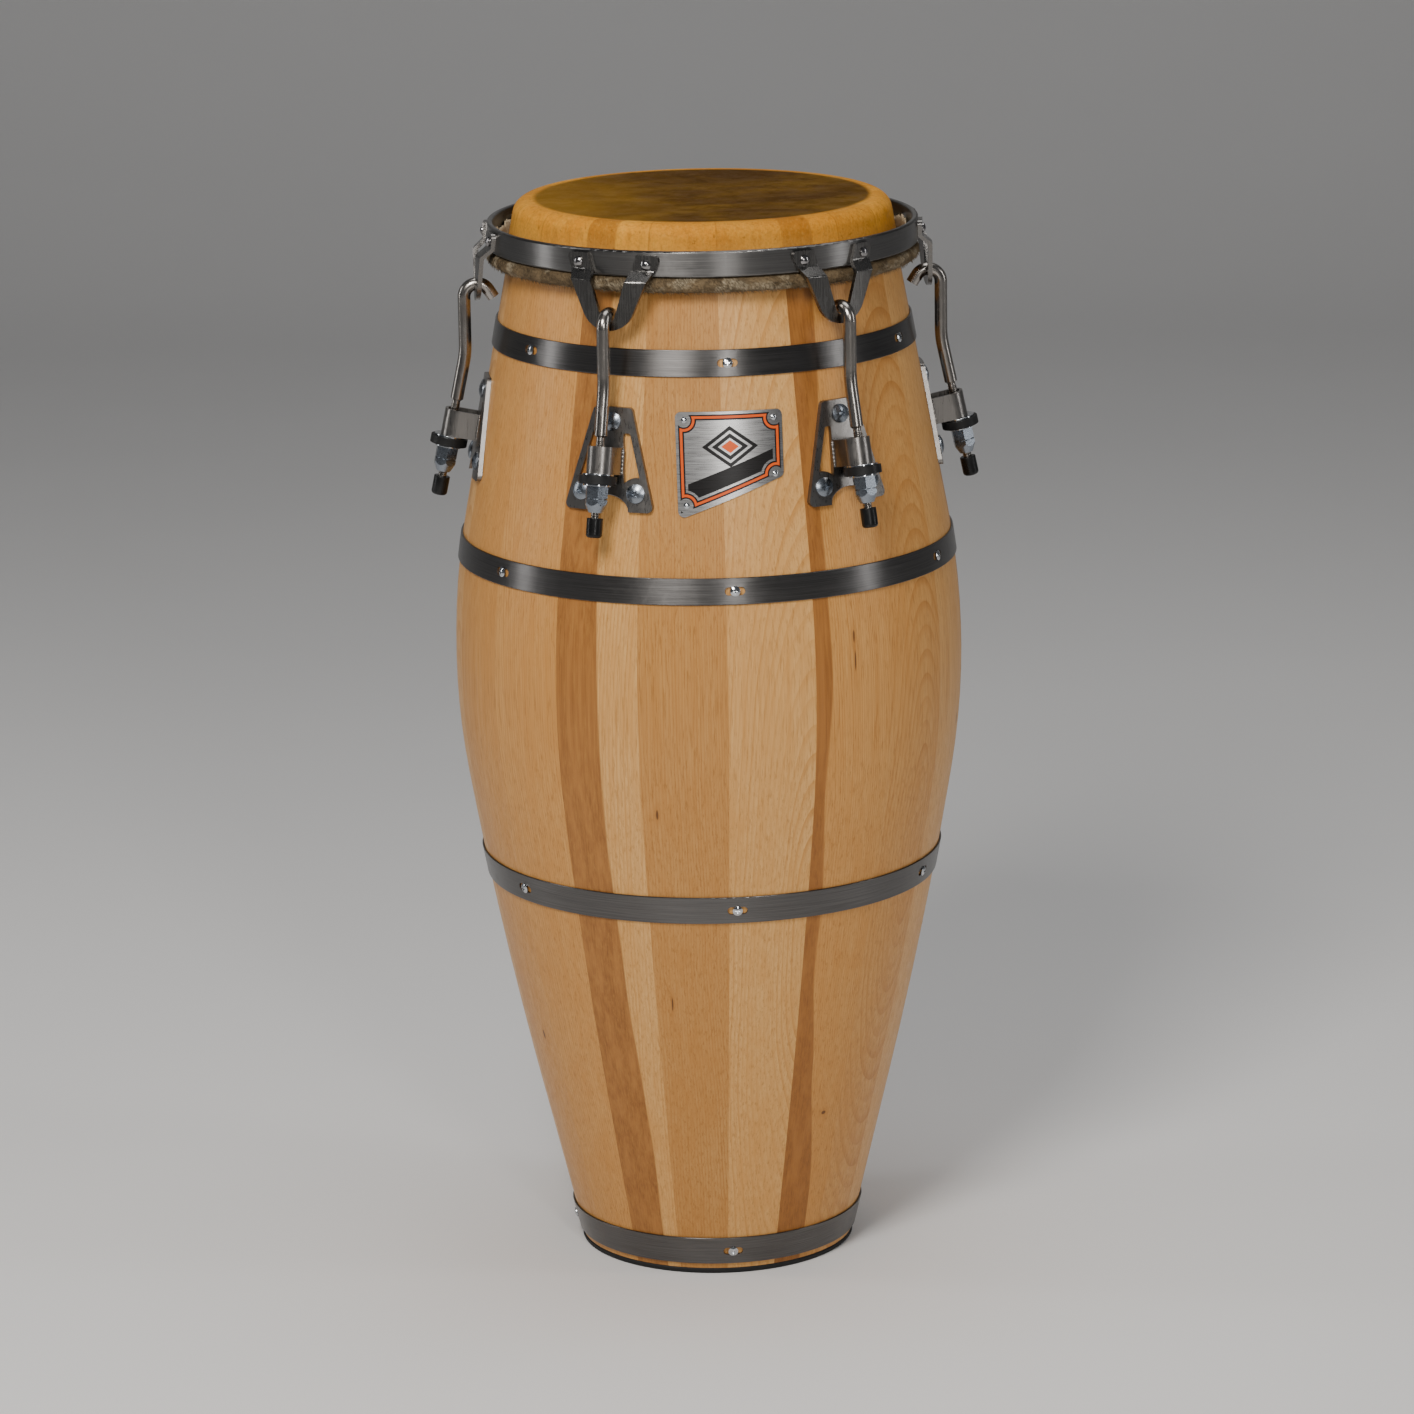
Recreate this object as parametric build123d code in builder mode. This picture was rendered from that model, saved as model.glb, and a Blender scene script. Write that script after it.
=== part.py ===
"""Conga drum, 762 mm tall: an 18-stave shell with four steel bands, six tuning lugs and a hide head.

Millimetres. The origin is the centre of the base on the floor, +Z is up and the badge faces -Y. An azimuth is
counted from -Y towards +X, so that it is also a turn about +Z.
"""

import os
from math import asin, atan2, cos, degrees, radians, sin, sqrt, tan

from build123d import *

os.makedirs("parts", exist_ok=True)

# ---- Driving dimensions ---------------------------------------------------------------------------------------

HEIGHT = 762.0  # floor to the top of the hide
HIDE = 1.8  # thickness of the stretched hide
WALL = 11.0  # thickness of a stave
STAVES = 18
FIRST_JOINT = -2.0  # azimuth of one glued joint between staves
SEATING = 0.05  # gap left between pieces that rest on each other
REACH = 400.0  # a size beyond the object, for cutting

# the shell's outside in section: from the belly a round runs up into the straight neck; another runs down into
# the long flare and then into the straight foot
BELLY_RADIUS = 179.9
BELLY_HEIGHT = 437.0
NECK_ROUND = 560.0
NECK_LEAN = 10.5  # degrees off upright
WAIST_ROUND = 520.0
WAIST_LEAN = 9.5
FLARE_ROUND = 3377.0
FOOT_LEAN = 13.5
SHELL_LOW = 4.0
HIDE_GAP = 0.1  # between the shell and the hide
SHELL_TOP = HEIGHT - HIDE - HIDE_GAP
BEARING_ROUND = 9.5  # rounding of the shell's top edge, under the hide

RING_HEIGHT = SHELL_LOW  # rubber ring under the staves
RING_OUTER = 98.3
RING_INNER = 85.0

BAND_THICKNESS = 1.5
BAND_SLOT = (14.0, 5.7)  # length and width of a screw slot
BANDS = {  # lower edge, upper edge, number of screws
    "top_band": (660.5, 678.7, 6),
    "upper_belly_band": (507.8, 526.0, 6),
    "lower_belly_band": (277.9, 297.5, 6),
    "foot_band": (8.1, 28.8, 4),
}
BAND_SCREW_HEAD = (3.5, 1.7)  # radius and height
BAND_SCREW_SHANK = 1.7
BAND_SCREW_LENGTH = 9.5  # below the head
BAND_SCREW_POINT = 2.0  # the part of that which tapers
BAND_SCREW_CROSS = (3.4, 0.7, 1.2)  # length, width and depth of the cross recess

LUGS = 6
LUG_AZIMUTHS = [30 + 60 * k for k in range(LUGS)]

# tuning rim, hide roll and flesh hoop
RIM_OUTER = 151.0
RIM_THICKNESS = 4.0
RIM_LOW = 729.2
RIM_HIGH = 747.0
HOOP_RADIUS = 146.3  # radius of the ring, to the middle of its wire
HOOP_HEIGHT = 723.4
HOOP_WIRE = 4.0  # radius of the wire
ROLL_OUTER = 5.7  # radius of the hide rolled round the wire
ROLL_MOUTH = 50.0  # degrees of the roll that are open at the top, where the hide goes in
COLLAR_END = 722.0  # lower end of the hide's collar, inside the roll

# ears
SHEET = 3.0  # thickness of ears and bracket plates
EAR_JOGGLE = (733.5, 727.0)  # heights where the ear leaves the rim and where it runs down again
EAR_FACE = 161.0  # radius of the ear's outside below the joggle
EAR_TOP = 744.5
EAR_BOTTOM = 693.0
EAR_OUTER_ROUND = 20.0  # radius of the U at the bottom, outside
EAR_INNER_ROUND = 5.6  # and inside
EAR_EYE = 698.9  # lowest point of the opening, where the hook hangs
EAR_TOP_OUTER = 33.5  # half width over the two legs at the top
EAR_TOP_INNER = 18.0
EAR_CORNER = 3.5
RIVET_SPREAD = 25.1  # half the distance between an ear's two rivets
RIVET_HEIGHT = 738.0
RIVET_SHANK = 2.0
RIVET_HEAD = (3.5, 2.3)  # radius and height
RIVET_FOOT = (3.0, 1.0)

# tuning hooks: the lower shank leans outwards, and distances down it count from the middle of the socket
LEAN = 12.0  # degrees
AXIS_RADIUS = 178.7  # the lower shank's axis in the middle of the socket
AXIS_HEIGHT = 607.2
ROD = 4.5  # radius
THREAD_ROOT = 2.8  # radius of the 1/4 inch threaded end between its threads
HOOK_BEND = 9.2  # radius of the hook's round top, at the middle of the rod
HOOK_CENTRE = (159.2, 695.4)  # radius and height of that bend's centre
HOOK_SWEEP = 148.0  # degrees
HOOK_TIP = 6.5  # straight length after the bend
SHANK_BEND = 60.0
SHOULDER_AT = -15.5  # where the rod steps down to its thread

SOCKET_LENGTH = 18.5
SOCKET_WALL = 1.9
SOCKET_NOSE = 9.6  # outside radius of the strap
SOCKET_SET_BACK = 3.0  # the nose's centre lies this far behind the axis

UPPER_WASHER = (9.30, 10.5, 11.0)  # from, to, outside radius
RUBBER_WASHER = (10.55, 16.4, 13.0)
LOWER_WASHER = (16.45, 17.75, 9.6)
WASHER_BORE = 3.5
NUT = (17.80, 35.8)
NUT_FLATS = 14.3
NUT_GROOVE = 8.5  # from the nut's upper end
NUT_BORE = 3.25
NUT_END = 4.9  # radius of the tapered lower end
CAP = (39.4, 53.0)
CAP_RADIUS = 5.6
CAP_DEPTH = 10.0  # depth of the cap's blind hole

# lug brackets, as seen from outside: half widths and heights
BRACKET_TOP = (14.0, 639.5)
BRACKET_FOOT = (33.4, 569.7)
BRACKET_CORNER = 3.5
ARCH = (15.3, 10.8)  # half width and height of the arch between the feet
WINDOW_TOP = (9.0, 13.8, 622.4)  # inner edge, outer edge, height
WINDOW_FOOT = (11.5, 24.2, 586.0)
WINDOW_SCREW_ROUND = 11.0  # the window's lower edge runs round the foot screw
BRACKET_SCREWS = [(0.0, 629.4), (-20.0, 581.8), (20.0, 581.8)]
BOLT_HEAD = (6.5, 2.6)  # radius and height
BOLT_SHANK = 3.0
BOLT_LENGTH = 22.5  # below the head
INNER_WASHER = (14.25, 15.75, 7.0)  # below the head: from, to, outside radius
INNER_NUT = (15.80, 20.8)
INNER_NUT_FLATS = 10.0

# badge: half width, top, lower right corner and lower left corner
BADGE_HALF_WIDTH = 36.6
BADGE_TOP = 637.4
BADGE_LOW = (592.6, 565.2)
BADGE_THICKNESS = 0.9
BADGE_CORNER = 4.0
BADGE_PIN_PLACES = [(31.1, 631.9), (-31.1, 631.9), (31.1, 594.1), (-31.1, 574.7)]
BADGE_PIN_HEAD = (2.1, 1.2)
BADGE_PIN_SHANK = 1.0
BADGE_PIN_DEPTH = 7.0

# ---- Planes ---------------------------------------------------------------------------------------------------


def radial_plane(azimuth):
    """Upright plane through the axis: its x runs outwards and its y up."""
    a = radians(azimuth)
    return Plane(origin=(0, 0, 0), x_dir=(sin(a), -cos(a), 0), z_dir=(-cos(a), -sin(a), 0))


def outward_plane(azimuth, radius=0.0, height=0.0):
    """Upright plane that faces outwards: its x runs round the drum and its y up."""
    a = radians(azimuth)
    origin = (radius * sin(a), -radius * cos(a), height)
    return Plane(origin=origin, x_dir=(cos(a), sin(a), 0), z_dir=(sin(a), -cos(a), 0))


def shank_point(distance):
    """Radius and height of a lower shank's axis at a distance down it."""
    lean = radians(LEAN)
    return AXIS_RADIUS + distance * sin(lean), AXIS_HEIGHT - distance * cos(lean)


def shank_plane(distance):
    """Plane across a lower shank at azimuth 0: its z runs down the shank and its y outwards."""
    lean = radians(LEAN)
    radius, height = shank_point(distance)
    return Plane(origin=(0, -radius, height), x_dir=(1, 0, 0), z_dir=(0, -sin(lean), -cos(lean)))


# ---- The shell's outside --------------------------------------------------------------------------------------


def shell_at(height):
    """Radius of the shell's outside at a height, and how many degrees its outward normal points up."""
    above = height - BELLY_HEIGHT
    if above >= 0:
        rounds = [(NECK_ROUND, 0.0, NECK_LEAN)]
    else:
        rounds = [(WAIST_ROUND, 0.0, WAIST_LEAN), (FLARE_ROUND, WAIST_LEAN, FOOT_LEAN)]
    left = abs(above)
    radius = BELLY_RADIUS
    for size, first, last in rounds:
        sine = min(sin(radians(first)) + left / size, sin(radians(last)))
        lean = asin(sine)
        left -= size * (sine - sin(radians(first)))
        radius -= size * (cos(radians(first)) - cos(lean))
    radius -= left * tan(lean)
    return radius, degrees(lean) if above >= 0 else -degrees(lean)


def surface_plane(azimuth, height, proud=0.0):
    """Plane that touches the shell's outside, moved outwards along its normal by proud."""
    radius, tilt = shell_at(height)
    a, t = radians(azimuth), radians(tilt)
    normal = Vector(sin(a) * cos(t), -cos(a) * cos(t), sin(t))
    foot = Vector(radius * sin(a), -radius * cos(a), height)
    return Plane(origin=foot + normal * proud, x_dir=(cos(a), sin(a), 0), z_dir=normal)


def shell_edge(proud):
    """Curve parallel to the shell's outside, from below the floor to above the head: x is the radius, y the height."""
    neck_centre = (BELLY_RADIUS - NECK_ROUND, BELLY_HEIGHT)
    waist_centre = (BELLY_RADIUS - WAIST_ROUND, BELLY_HEIGHT)
    step = FLARE_ROUND - WAIST_ROUND
    flare_centre = (
        waist_centre[0] - step * cos(radians(WAIST_LEAN)),
        waist_centre[1] + step * sin(radians(WAIST_LEAN)),
    )
    with BuildLine() as edge:
        neck = CenterArc(neck_centre, NECK_ROUND + proud, 0, NECK_LEAN)
        Line(neck @ 1, neck @ 1 + (neck % 1) * HEIGHT / 3)
        CenterArc(waist_centre, WAIST_ROUND + proud, -WAIST_LEAN, WAIST_LEAN)
        flare = CenterArc(flare_centre, FLARE_ROUND + proud, -FOOT_LEAN, FOOT_LEAN - WAIST_LEAN)
        Line(flare @ 0, flare @ 0 - (flare % 0) * HEIGHT / 5)
    return edge.wire()


def shell_layer(inner, outer, low=SHELL_LOW, high=SHELL_TOP):
    """Sketch of the layer between two curves parallel to the shell's outside: x is the radius, y the height."""
    inside = shell_edge(inner)
    outside = shell_edge(outer)
    with BuildSketch() as layer:
        with BuildLine():
            add(inside)
            add(outside)
            Line(inside @ 0, outside @ 0)
            Line(inside @ 1, outside @ 1)
        make_face()
        with Locations((REACH / 2, (low + high) / 2)):
            Rectangle(REACH, high - low, mode=Mode.INTERSECT)
    return layer.sketch


def filled_section(proud, low, high):
    """Flat half section out to a curve parallel to the shell's outside, between two heights."""
    edge = shell_edge(proud)
    with BuildSketch() as half:
        with BuildLine():
            add(edge)
            Polyline(edge @ 1, (0, (edge @ 1).Y), (0, (edge @ 0).Y), edge @ 0)
        make_face()
        with Locations((REACH / 2, (low + high) / 2)):
            Rectangle(REACH, high - low, mode=Mode.INTERSECT)
    return half.sketch


# ---- Fasteners' places ----------------------------------------------------------------------------------------


def band_screw_places():
    """Azimuth and height of every band screw."""
    places = []
    for low, high, count in BANDS.values():
        places += [(360 / count * n, (low + high) / 2) for n in range(count)]
    return places


def azimuth_at(across, height):
    """Azimuth of a point on the shell's outside this far to one side of azimuth 0."""
    return degrees(atan2(across, shell_at(height)[0]))


def bracket_bolt_places():
    """Azimuth and height of every bracket bolt."""
    places = []
    for azimuth in LUG_AZIMUTHS:
        places += [(azimuth + azimuth_at(across, height), height) for across, height in BRACKET_SCREWS]
    return places


BAND_SCREWS = band_screw_places()
BRACKET_BOLTS = bracket_bolt_places()
BADGE_PINS = [(azimuth_at(across, height), height) for across, height in BADGE_PIN_PLACES]

# ---- Staves ---------------------------------------------------------------------------------------------------

STAVE_ANGLE = 360 / STAVES
HOLE_MARGIN = 3.0  # degrees: a fastener this near a joint also marks the next stave


def holes_in_stave(start):
    """Azimuth, height, radius and depth of every hole that touches the stave that starts at this azimuth."""
    holes = [(a, h, BAND_SCREW_SHANK + SEATING, BAND_SCREW_LENGTH) for a, h in BAND_SCREWS]
    holes += [(a, h, BOLT_SHANK + SEATING, 2 * WALL) for a, h in BRACKET_BOLTS]
    holes += [(a, h, BADGE_PIN_SHANK + SEATING, BADGE_PIN_DEPTH) for a, h in BADGE_PINS]
    middle = start + STAVE_ANGLE / 2
    reach = STAVE_ANGLE / 2 + HOLE_MARGIN
    return [hole for hole in holes if abs((hole[0] - middle + 180) % 360 - 180) < reach]


def rounded_top(section, rounding):
    """A flat section with the corner that is highest and farthest out rounded."""
    with BuildSketch() as rounded:
        add(section)
        top = rounded.vertices().group_by(Axis.Y)[-1]
        fillet(top.sort_by(Axis.X)[-1], rounding)
    return rounded.sketch


STAVE_SECTION = rounded_top(shell_layer(-WALL, 0.0), BEARING_ROUND)


def make_stave(start):
    """One stave, from this azimuth on, with its top edge rounded and its fastener holes drilled."""
    with BuildPart() as stave:
        with BuildSketch(radial_plane(start)):
            add(STAVE_SECTION)
        revolve(axis=Axis.Z, revolution_arc=STAVE_ANGLE)
        for azimuth, height, radius, depth in holes_in_stave(start):
            with BuildSketch(surface_plane(azimuth, height, 2.0)):
                Circle(radius)
            extrude(amount=-(depth + 2.0), mode=Mode.SUBTRACT)
    return stave.part


for number in range(STAVES):
    stave_part = make_stave(FIRST_JOINT + STAVE_ANGLE * number)
    stave_part.label = f"stave_{number + 1:02d}"
    export_step(stave_part, f"parts/{stave_part.label}.step")

with BuildPart() as base_ring:
    with BuildSketch(radial_plane(0)):
        with Locations(((RING_OUTER + RING_INNER) / 2, RING_HEIGHT / 2)):
            RectangleRounded(RING_OUTER - RING_INNER, RING_HEIGHT, 1.2)
    revolve(axis=Axis.Z)
base_ring.part.label = "base_ring"
export_step(base_ring.part, "parts/base_ring.step")

# ---- Bands and their screws -----------------------------------------------------------------------------------


def make_band(low, high, screws):
    """Steel band bent round the shell, with a level slot for each screw."""
    with BuildPart() as band:
        with BuildSketch(radial_plane(0)) as section:
            add(shell_layer(SEATING, BAND_THICKNESS, low, high))
            fillet(section.vertices(), 0.4)
        revolve(axis=Axis.Z)
        for number in range(screws):
            with BuildSketch(surface_plane(360 / screws * number, (low + high) / 2)):
                SlotOverall(*BAND_SLOT)
            extrude(amount=3 * BAND_THICKNESS, both=True, mode=Mode.SUBTRACT)
    return band.part


for band_name, band_sizes in BANDS.items():
    band_part = make_band(*band_sizes)
    band_part.label = band_name
    export_step(band_part, f"parts/{band_name}.step")


def domed_head(radius, height):
    """Round fastener head in section, a spherical cap on a short rim: x is the radius, y the height."""
    rim_height = 0.35 * height
    rise = height - rim_height
    sphere = (radius**2 + rise**2) / (2 * rise)
    halfway = (radius / 2, height - sphere + sqrt(sphere**2 - radius**2 / 4))
    with BuildSketch() as head:
        with BuildLine():
            Polyline((0, height), (0, 0), (radius, 0), (radius, rim_height))
            ThreePointArc((radius, rim_height), halfway, (0, height))
        make_face()
    return head.sketch


with BuildPart() as one_band_screw:
    with BuildSketch(Plane.XZ):
        add(domed_head(*BAND_SCREW_HEAD))
    revolve(axis=Axis.Z)
    with BuildSketch(Plane.XY):
        Circle(BAND_SCREW_SHANK)
    extrude(amount=-(BAND_SCREW_LENGTH - BAND_SCREW_POINT))
    with BuildSketch(Plane.XY.offset(-(BAND_SCREW_LENGTH - BAND_SCREW_POINT))):
        Circle(BAND_SCREW_SHANK)
    extrude(amount=0.1 - BAND_SCREW_POINT, taper=38)
    cross_length, cross_width, cross_depth = BAND_SCREW_CROSS
    with BuildSketch(Plane.XY.offset(BAND_SCREW_HEAD[1])):
        Rectangle(cross_length, cross_width)
        Rectangle(cross_width, cross_length)
    extrude(amount=-cross_depth, mode=Mode.SUBTRACT)

with BuildPart() as band_screws:
    with Locations(*[surface_plane(a, h, BAND_THICKNESS + SEATING) for a, h in BAND_SCREWS]):
        add(one_band_screw.part)
band_screws.part.label = "band_screws"
export_step(band_screws.part, "parts/band_screws.step")

# ---- Lug brackets, bolts, washers and nuts --------------------------------------------------------------------

with BuildSketch() as window:
    with BuildLine():
        Polyline(
            (WINDOW_TOP[0], WINDOW_TOP[2]),
            (WINDOW_TOP[1], WINDOW_TOP[2]),
            (WINDOW_FOOT[1], WINDOW_FOOT[2]),
            (WINDOW_FOOT[0], WINDOW_FOOT[2]),
            close=True,
        )
    make_face()
    with Locations(BRACKET_SCREWS[2]):
        Circle(WINDOW_SCREW_ROUND, mode=Mode.SUBTRACT)
    fillet(window.vertices().group_by(Axis.Y)[-1], 1.2)

with BuildSketch(outward_plane(0)) as bracket_outline:
    with BuildLine():
        Polyline(
            (-BRACKET_TOP[0], BRACKET_TOP[1]),
            BRACKET_TOP,
            BRACKET_FOOT,
            (-BRACKET_FOOT[0], BRACKET_FOOT[1]),
            close=True,
        )
    make_face()
    fillet(bracket_outline.vertices(), BRACKET_CORNER)
    with Locations((0, BRACKET_FOOT[1])):
        Ellipse(*ARCH, mode=Mode.SUBTRACT)
    add(window.sketch, mode=Mode.SUBTRACT)
    add(mirror(window.sketch, about=Plane.YZ, mode=Mode.PRIVATE), mode=Mode.SUBTRACT)

with BuildPart() as under_plate:
    with BuildSketch(radial_plane(0)):
        add(filled_section(SHEET / 2, BRACKET_FOOT[1] - 20, BRACKET_TOP[1] + 20))
    revolve(axis=Axis.Z)

with BuildPart() as plate:
    with BuildSketch(radial_plane(-20)):
        add(shell_layer(SEATING, SHEET, BRACKET_FOOT[1] - 5, BRACKET_TOP[1] + 5))
    revolve(axis=Axis.Z, revolution_arc=40)
    extrude(bracket_outline.sketch, amount=REACH, mode=Mode.INTERSECT)
    fillet(plate.faces().sort_by(Axis.Y)[0].outer_wire().edges(), 0.5)
    for across, height in BRACKET_SCREWS:
        with BuildSketch(surface_plane(azimuth_at(across, height), height)):
            Circle(BOLT_SHANK + SEATING)
        extrude(amount=2 * SHEET, both=True, mode=Mode.SUBTRACT)

with BuildPart() as socket:
    with BuildSketch(shank_plane(-SOCKET_LENGTH / 2)):
        with Locations((0, -SOCKET_SET_BACK)):
            Circle(SOCKET_NOSE)
        with Locations((0, -SOCKET_SET_BACK - SOCKET_NOSE)):
            Rectangle(2 * SOCKET_NOSE, 2 * SOCKET_NOSE)
        with Locations((0, -SOCKET_SET_BACK)):
            Circle(SOCKET_NOSE - SOCKET_WALL, mode=Mode.SUBTRACT)
        with Locations((0, -SOCKET_SET_BACK - 2 * SOCKET_NOSE)):
            Rectangle(2 * (SOCKET_NOSE - SOCKET_WALL), 4 * SOCKET_NOSE, mode=Mode.SUBTRACT)
    extrude(amount=SOCKET_LENGTH)
    add(under_plate.part, mode=Mode.SUBTRACT)

with BuildPart() as one_bracket:
    add(plate.part)
    add(socket.part)

with BuildPart() as lug_brackets:
    with PolarLocations(0, LUGS, start_angle=LUG_AZIMUTHS[0]):
        add(one_bracket.part)
lug_brackets.part.label = "lug_brackets"
export_step(lug_brackets.part, "parts/lug_brackets.step")

with BuildPart() as one_bolt:
    with BuildSketch(Plane.XZ):
        add(domed_head(*BOLT_HEAD))
    revolve(axis=Axis.Z)
    with BuildSketch(Plane.XY):
        Circle(BOLT_SHANK)
    extrude(amount=-BOLT_LENGTH)
    chamfer(one_bolt.edges().sort_by(Axis.Z)[0], 0.7)
    with BuildSketch(Plane.XY.offset(3.0)):
        Circle(1.9)
        with PolarLocations(2.05, 6):
            Circle(0.62)
        with PolarLocations(2.35, 6, start_angle=30):
            Circle(0.75, mode=Mode.SUBTRACT)
    extrude(amount=-2.2, mode=Mode.SUBTRACT)

plate_face = [surface_plane(a, h, SHEET + SEATING) for a, h in BRACKET_BOLTS]

with BuildPart() as bracket_bolts:
    with Locations(*plate_face):
        add(one_bolt.part)
bracket_bolts.part.label = "bracket_bolts"
export_step(bracket_bolts.part, "parts/bracket_bolts.step")

with BuildPart() as one_inner_washer:
    with BuildSketch(Plane.XY.offset(-INNER_WASHER[0])):
        Circle(INNER_WASHER[2])
        Circle(BOLT_SHANK + 0.2, mode=Mode.SUBTRACT)
    extrude(amount=INNER_WASHER[0] - INNER_WASHER[1])

with BuildPart() as one_inner_nut:
    with BuildSketch(Plane.XY.offset(-INNER_NUT[0])):
        RegularPolygon(INNER_NUT_FLATS / 2, 6, major_radius=False)
        Circle(BOLT_SHANK + SEATING, mode=Mode.SUBTRACT)
    extrude(amount=INNER_NUT[0] - INNER_NUT[1])

with BuildPart() as inner_washers:
    with Locations(*plate_face):
        add(one_inner_washer.part)
inner_washers.part.label = "inner_washers"
export_step(inner_washers.part, "parts/inner_washers.step")

with BuildPart() as inner_nuts:
    with Locations(*plate_face):
        add(one_inner_nut.part)
inner_nuts.part.label = "inner_nuts"
export_step(inner_nuts.part, "parts/inner_nuts.step")

# ---- Badge ----------------------------------------------------------------------------------------------------

with BuildSketch(outward_plane(0)) as badge_outline:
    with BuildLine():
        Polyline(
            (-BADGE_HALF_WIDTH, BADGE_TOP),
            (BADGE_HALF_WIDTH, BADGE_TOP),
            (BADGE_HALF_WIDTH, BADGE_LOW[0]),
            (-BADGE_HALF_WIDTH, BADGE_LOW[1]),
            close=True,
        )
    make_face()
    fillet(badge_outline.vertices(), BADGE_CORNER)

with BuildPart() as badge_plate:
    with BuildSketch(radial_plane(-20)):
        add(shell_layer(SEATING, BADGE_THICKNESS, BADGE_LOW[1] - 5, BADGE_TOP + 5))
    revolve(axis=Axis.Z, revolution_arc=40)
    extrude(badge_outline.sketch, amount=REACH, mode=Mode.INTERSECT)
    for azimuth, height in BADGE_PINS:
        with BuildSketch(surface_plane(azimuth, height)):
            Circle(BADGE_PIN_SHANK + SEATING)
        extrude(amount=2 * SHEET, both=True, mode=Mode.SUBTRACT)
badge_plate.part.label = "badge_plate"
export_step(badge_plate.part, "parts/badge_plate.step")

with BuildPart() as one_pin:
    with BuildSketch(Plane.XZ):
        add(domed_head(*BADGE_PIN_HEAD))
    revolve(axis=Axis.Z)
    with BuildSketch(Plane.XY):
        Circle(BADGE_PIN_SHANK)
    extrude(amount=-(BADGE_PIN_DEPTH - 0.5))

with BuildPart() as badge_pins:
    with Locations(*[surface_plane(a, h, BADGE_THICKNESS + SEATING) for a, h in BADGE_PINS]):
        add(one_pin.part)
badge_pins.part.label = "badge_pins"
export_step(badge_pins.part, "parts/badge_pins.step")

# ---- Head: hide, roll and hoop --------------------------------------------------------------------------------

with BuildPart() as drumhead:
    with BuildSketch(radial_plane(0)):
        add(rounded_top(filled_section(HIDE, COLLAR_END, HEIGHT), BEARING_ROUND + HIDE))
        inside = filled_section(HIDE_GAP, COLLAR_END - HIDE, SHELL_TOP + HIDE_GAP)
        add(rounded_top(inside, BEARING_ROUND + HIDE_GAP), mode=Mode.SUBTRACT)
    revolve(axis=Axis.Z)
drumhead.part.label = "drumhead"
export_step(drumhead.part, "parts/drumhead.step")

with BuildPart() as flesh_hoop:
    with BuildSketch(radial_plane(0)):
        with Locations((HOOP_RADIUS, HOOP_HEIGHT)):
            Circle(HOOP_WIRE)
    revolve(axis=Axis.Z)
flesh_hoop.part.label = "flesh_hoop"
export_step(flesh_hoop.part, "parts/flesh_hoop.step")

with BuildPart() as skin_roll:
    with BuildSketch(radial_plane(0)):
        with BuildLine():
            start = 90 + ROLL_MOUTH / 2
            outer_arc = CenterArc((HOOP_RADIUS, HOOP_HEIGHT), ROLL_OUTER, start, 360 - ROLL_MOUTH)
            inner_arc = CenterArc((HOOP_RADIUS, HOOP_HEIGHT), HOOP_WIRE + SEATING, start, 360 - ROLL_MOUTH)
            Line(outer_arc @ 0, inner_arc @ 0)
            Line(outer_arc @ 1, inner_arc @ 1)
        make_face()
    revolve(axis=Axis.Z)
skin_roll.part.label = "skin_roll"
export_step(skin_roll.part, "parts/skin_roll.step")

# ---- Rim, ears and rivets -------------------------------------------------------------------------------------

rivet_azimuth = degrees(atan2(RIVET_SPREAD, RIM_OUTER))
RIVET_AZIMUTHS = [lug + side * rivet_azimuth for lug in LUG_AZIMUTHS for side in (-1, 1)]

with BuildPart() as rim:
    with BuildSketch(radial_plane(0)):
        with Locations((RIM_OUTER - RIM_THICKNESS / 2, (RIM_LOW + RIM_HIGH) / 2)):
            RectangleRounded(RIM_THICKNESS, RIM_HIGH - RIM_LOW, 1.2)
    revolve(axis=Axis.Z)
    for azimuth in RIVET_AZIMUTHS:
        with BuildSketch(outward_plane(azimuth, RIM_OUTER, RIVET_HEIGHT)):
            Circle(RIVET_SHANK + SEATING)
        extrude(amount=2 * RIM_THICKNESS, both=True, mode=Mode.SUBTRACT)
rim.part.label = "rim"
export_step(rim.part, "parts/rim.step")

with BuildSketch() as ear_outside:
    with Locations((0, EAR_BOTTOM + EAR_OUTER_ROUND)):
        Circle(EAR_OUTER_ROUND)
    corner = EAR_TOP_OUTER - EAR_CORNER
    with Locations((-corner, EAR_TOP - EAR_CORNER), (corner, EAR_TOP - EAR_CORNER)):
        Circle(EAR_CORNER)
    make_hull()

with BuildSketch() as ear_opening:
    with Locations((0, EAR_EYE + EAR_INNER_ROUND)):
        Circle(EAR_INNER_ROUND)
    with Locations((0, EAR_TOP + 0.1)):
        Rectangle(2 * EAR_TOP_INNER, 0.2)
    make_hull()

with BuildSketch(outward_plane(0)) as ear_outline:
    add(ear_outside.sketch)
    add(ear_opening.sketch, mode=Mode.SUBTRACT)

with BuildSketch() as ear_section:
    with BuildLine():
        upper = RIM_OUTER + SEATING
        lower = EAR_FACE - SHEET
        Polyline(
            (upper, EAR_TOP + 1),
            (upper + SHEET, EAR_TOP + 1),
            (upper + SHEET, EAR_JOGGLE[0]),
            (EAR_FACE, EAR_JOGGLE[1]),
            (EAR_FACE, EAR_BOTTOM - 1),
            (lower, EAR_BOTTOM - 1),
            (lower, EAR_JOGGLE[1] - 1.2),
            (upper, EAR_JOGGLE[0] - 1.2),
            close=True,
        )
    make_face()
    bends = ear_section.vertices().filter_by_position(Axis.Y, EAR_JOGGLE[1] - 2, EAR_JOGGLE[0] + 1)
    fillet(bends, 1.6)

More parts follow.
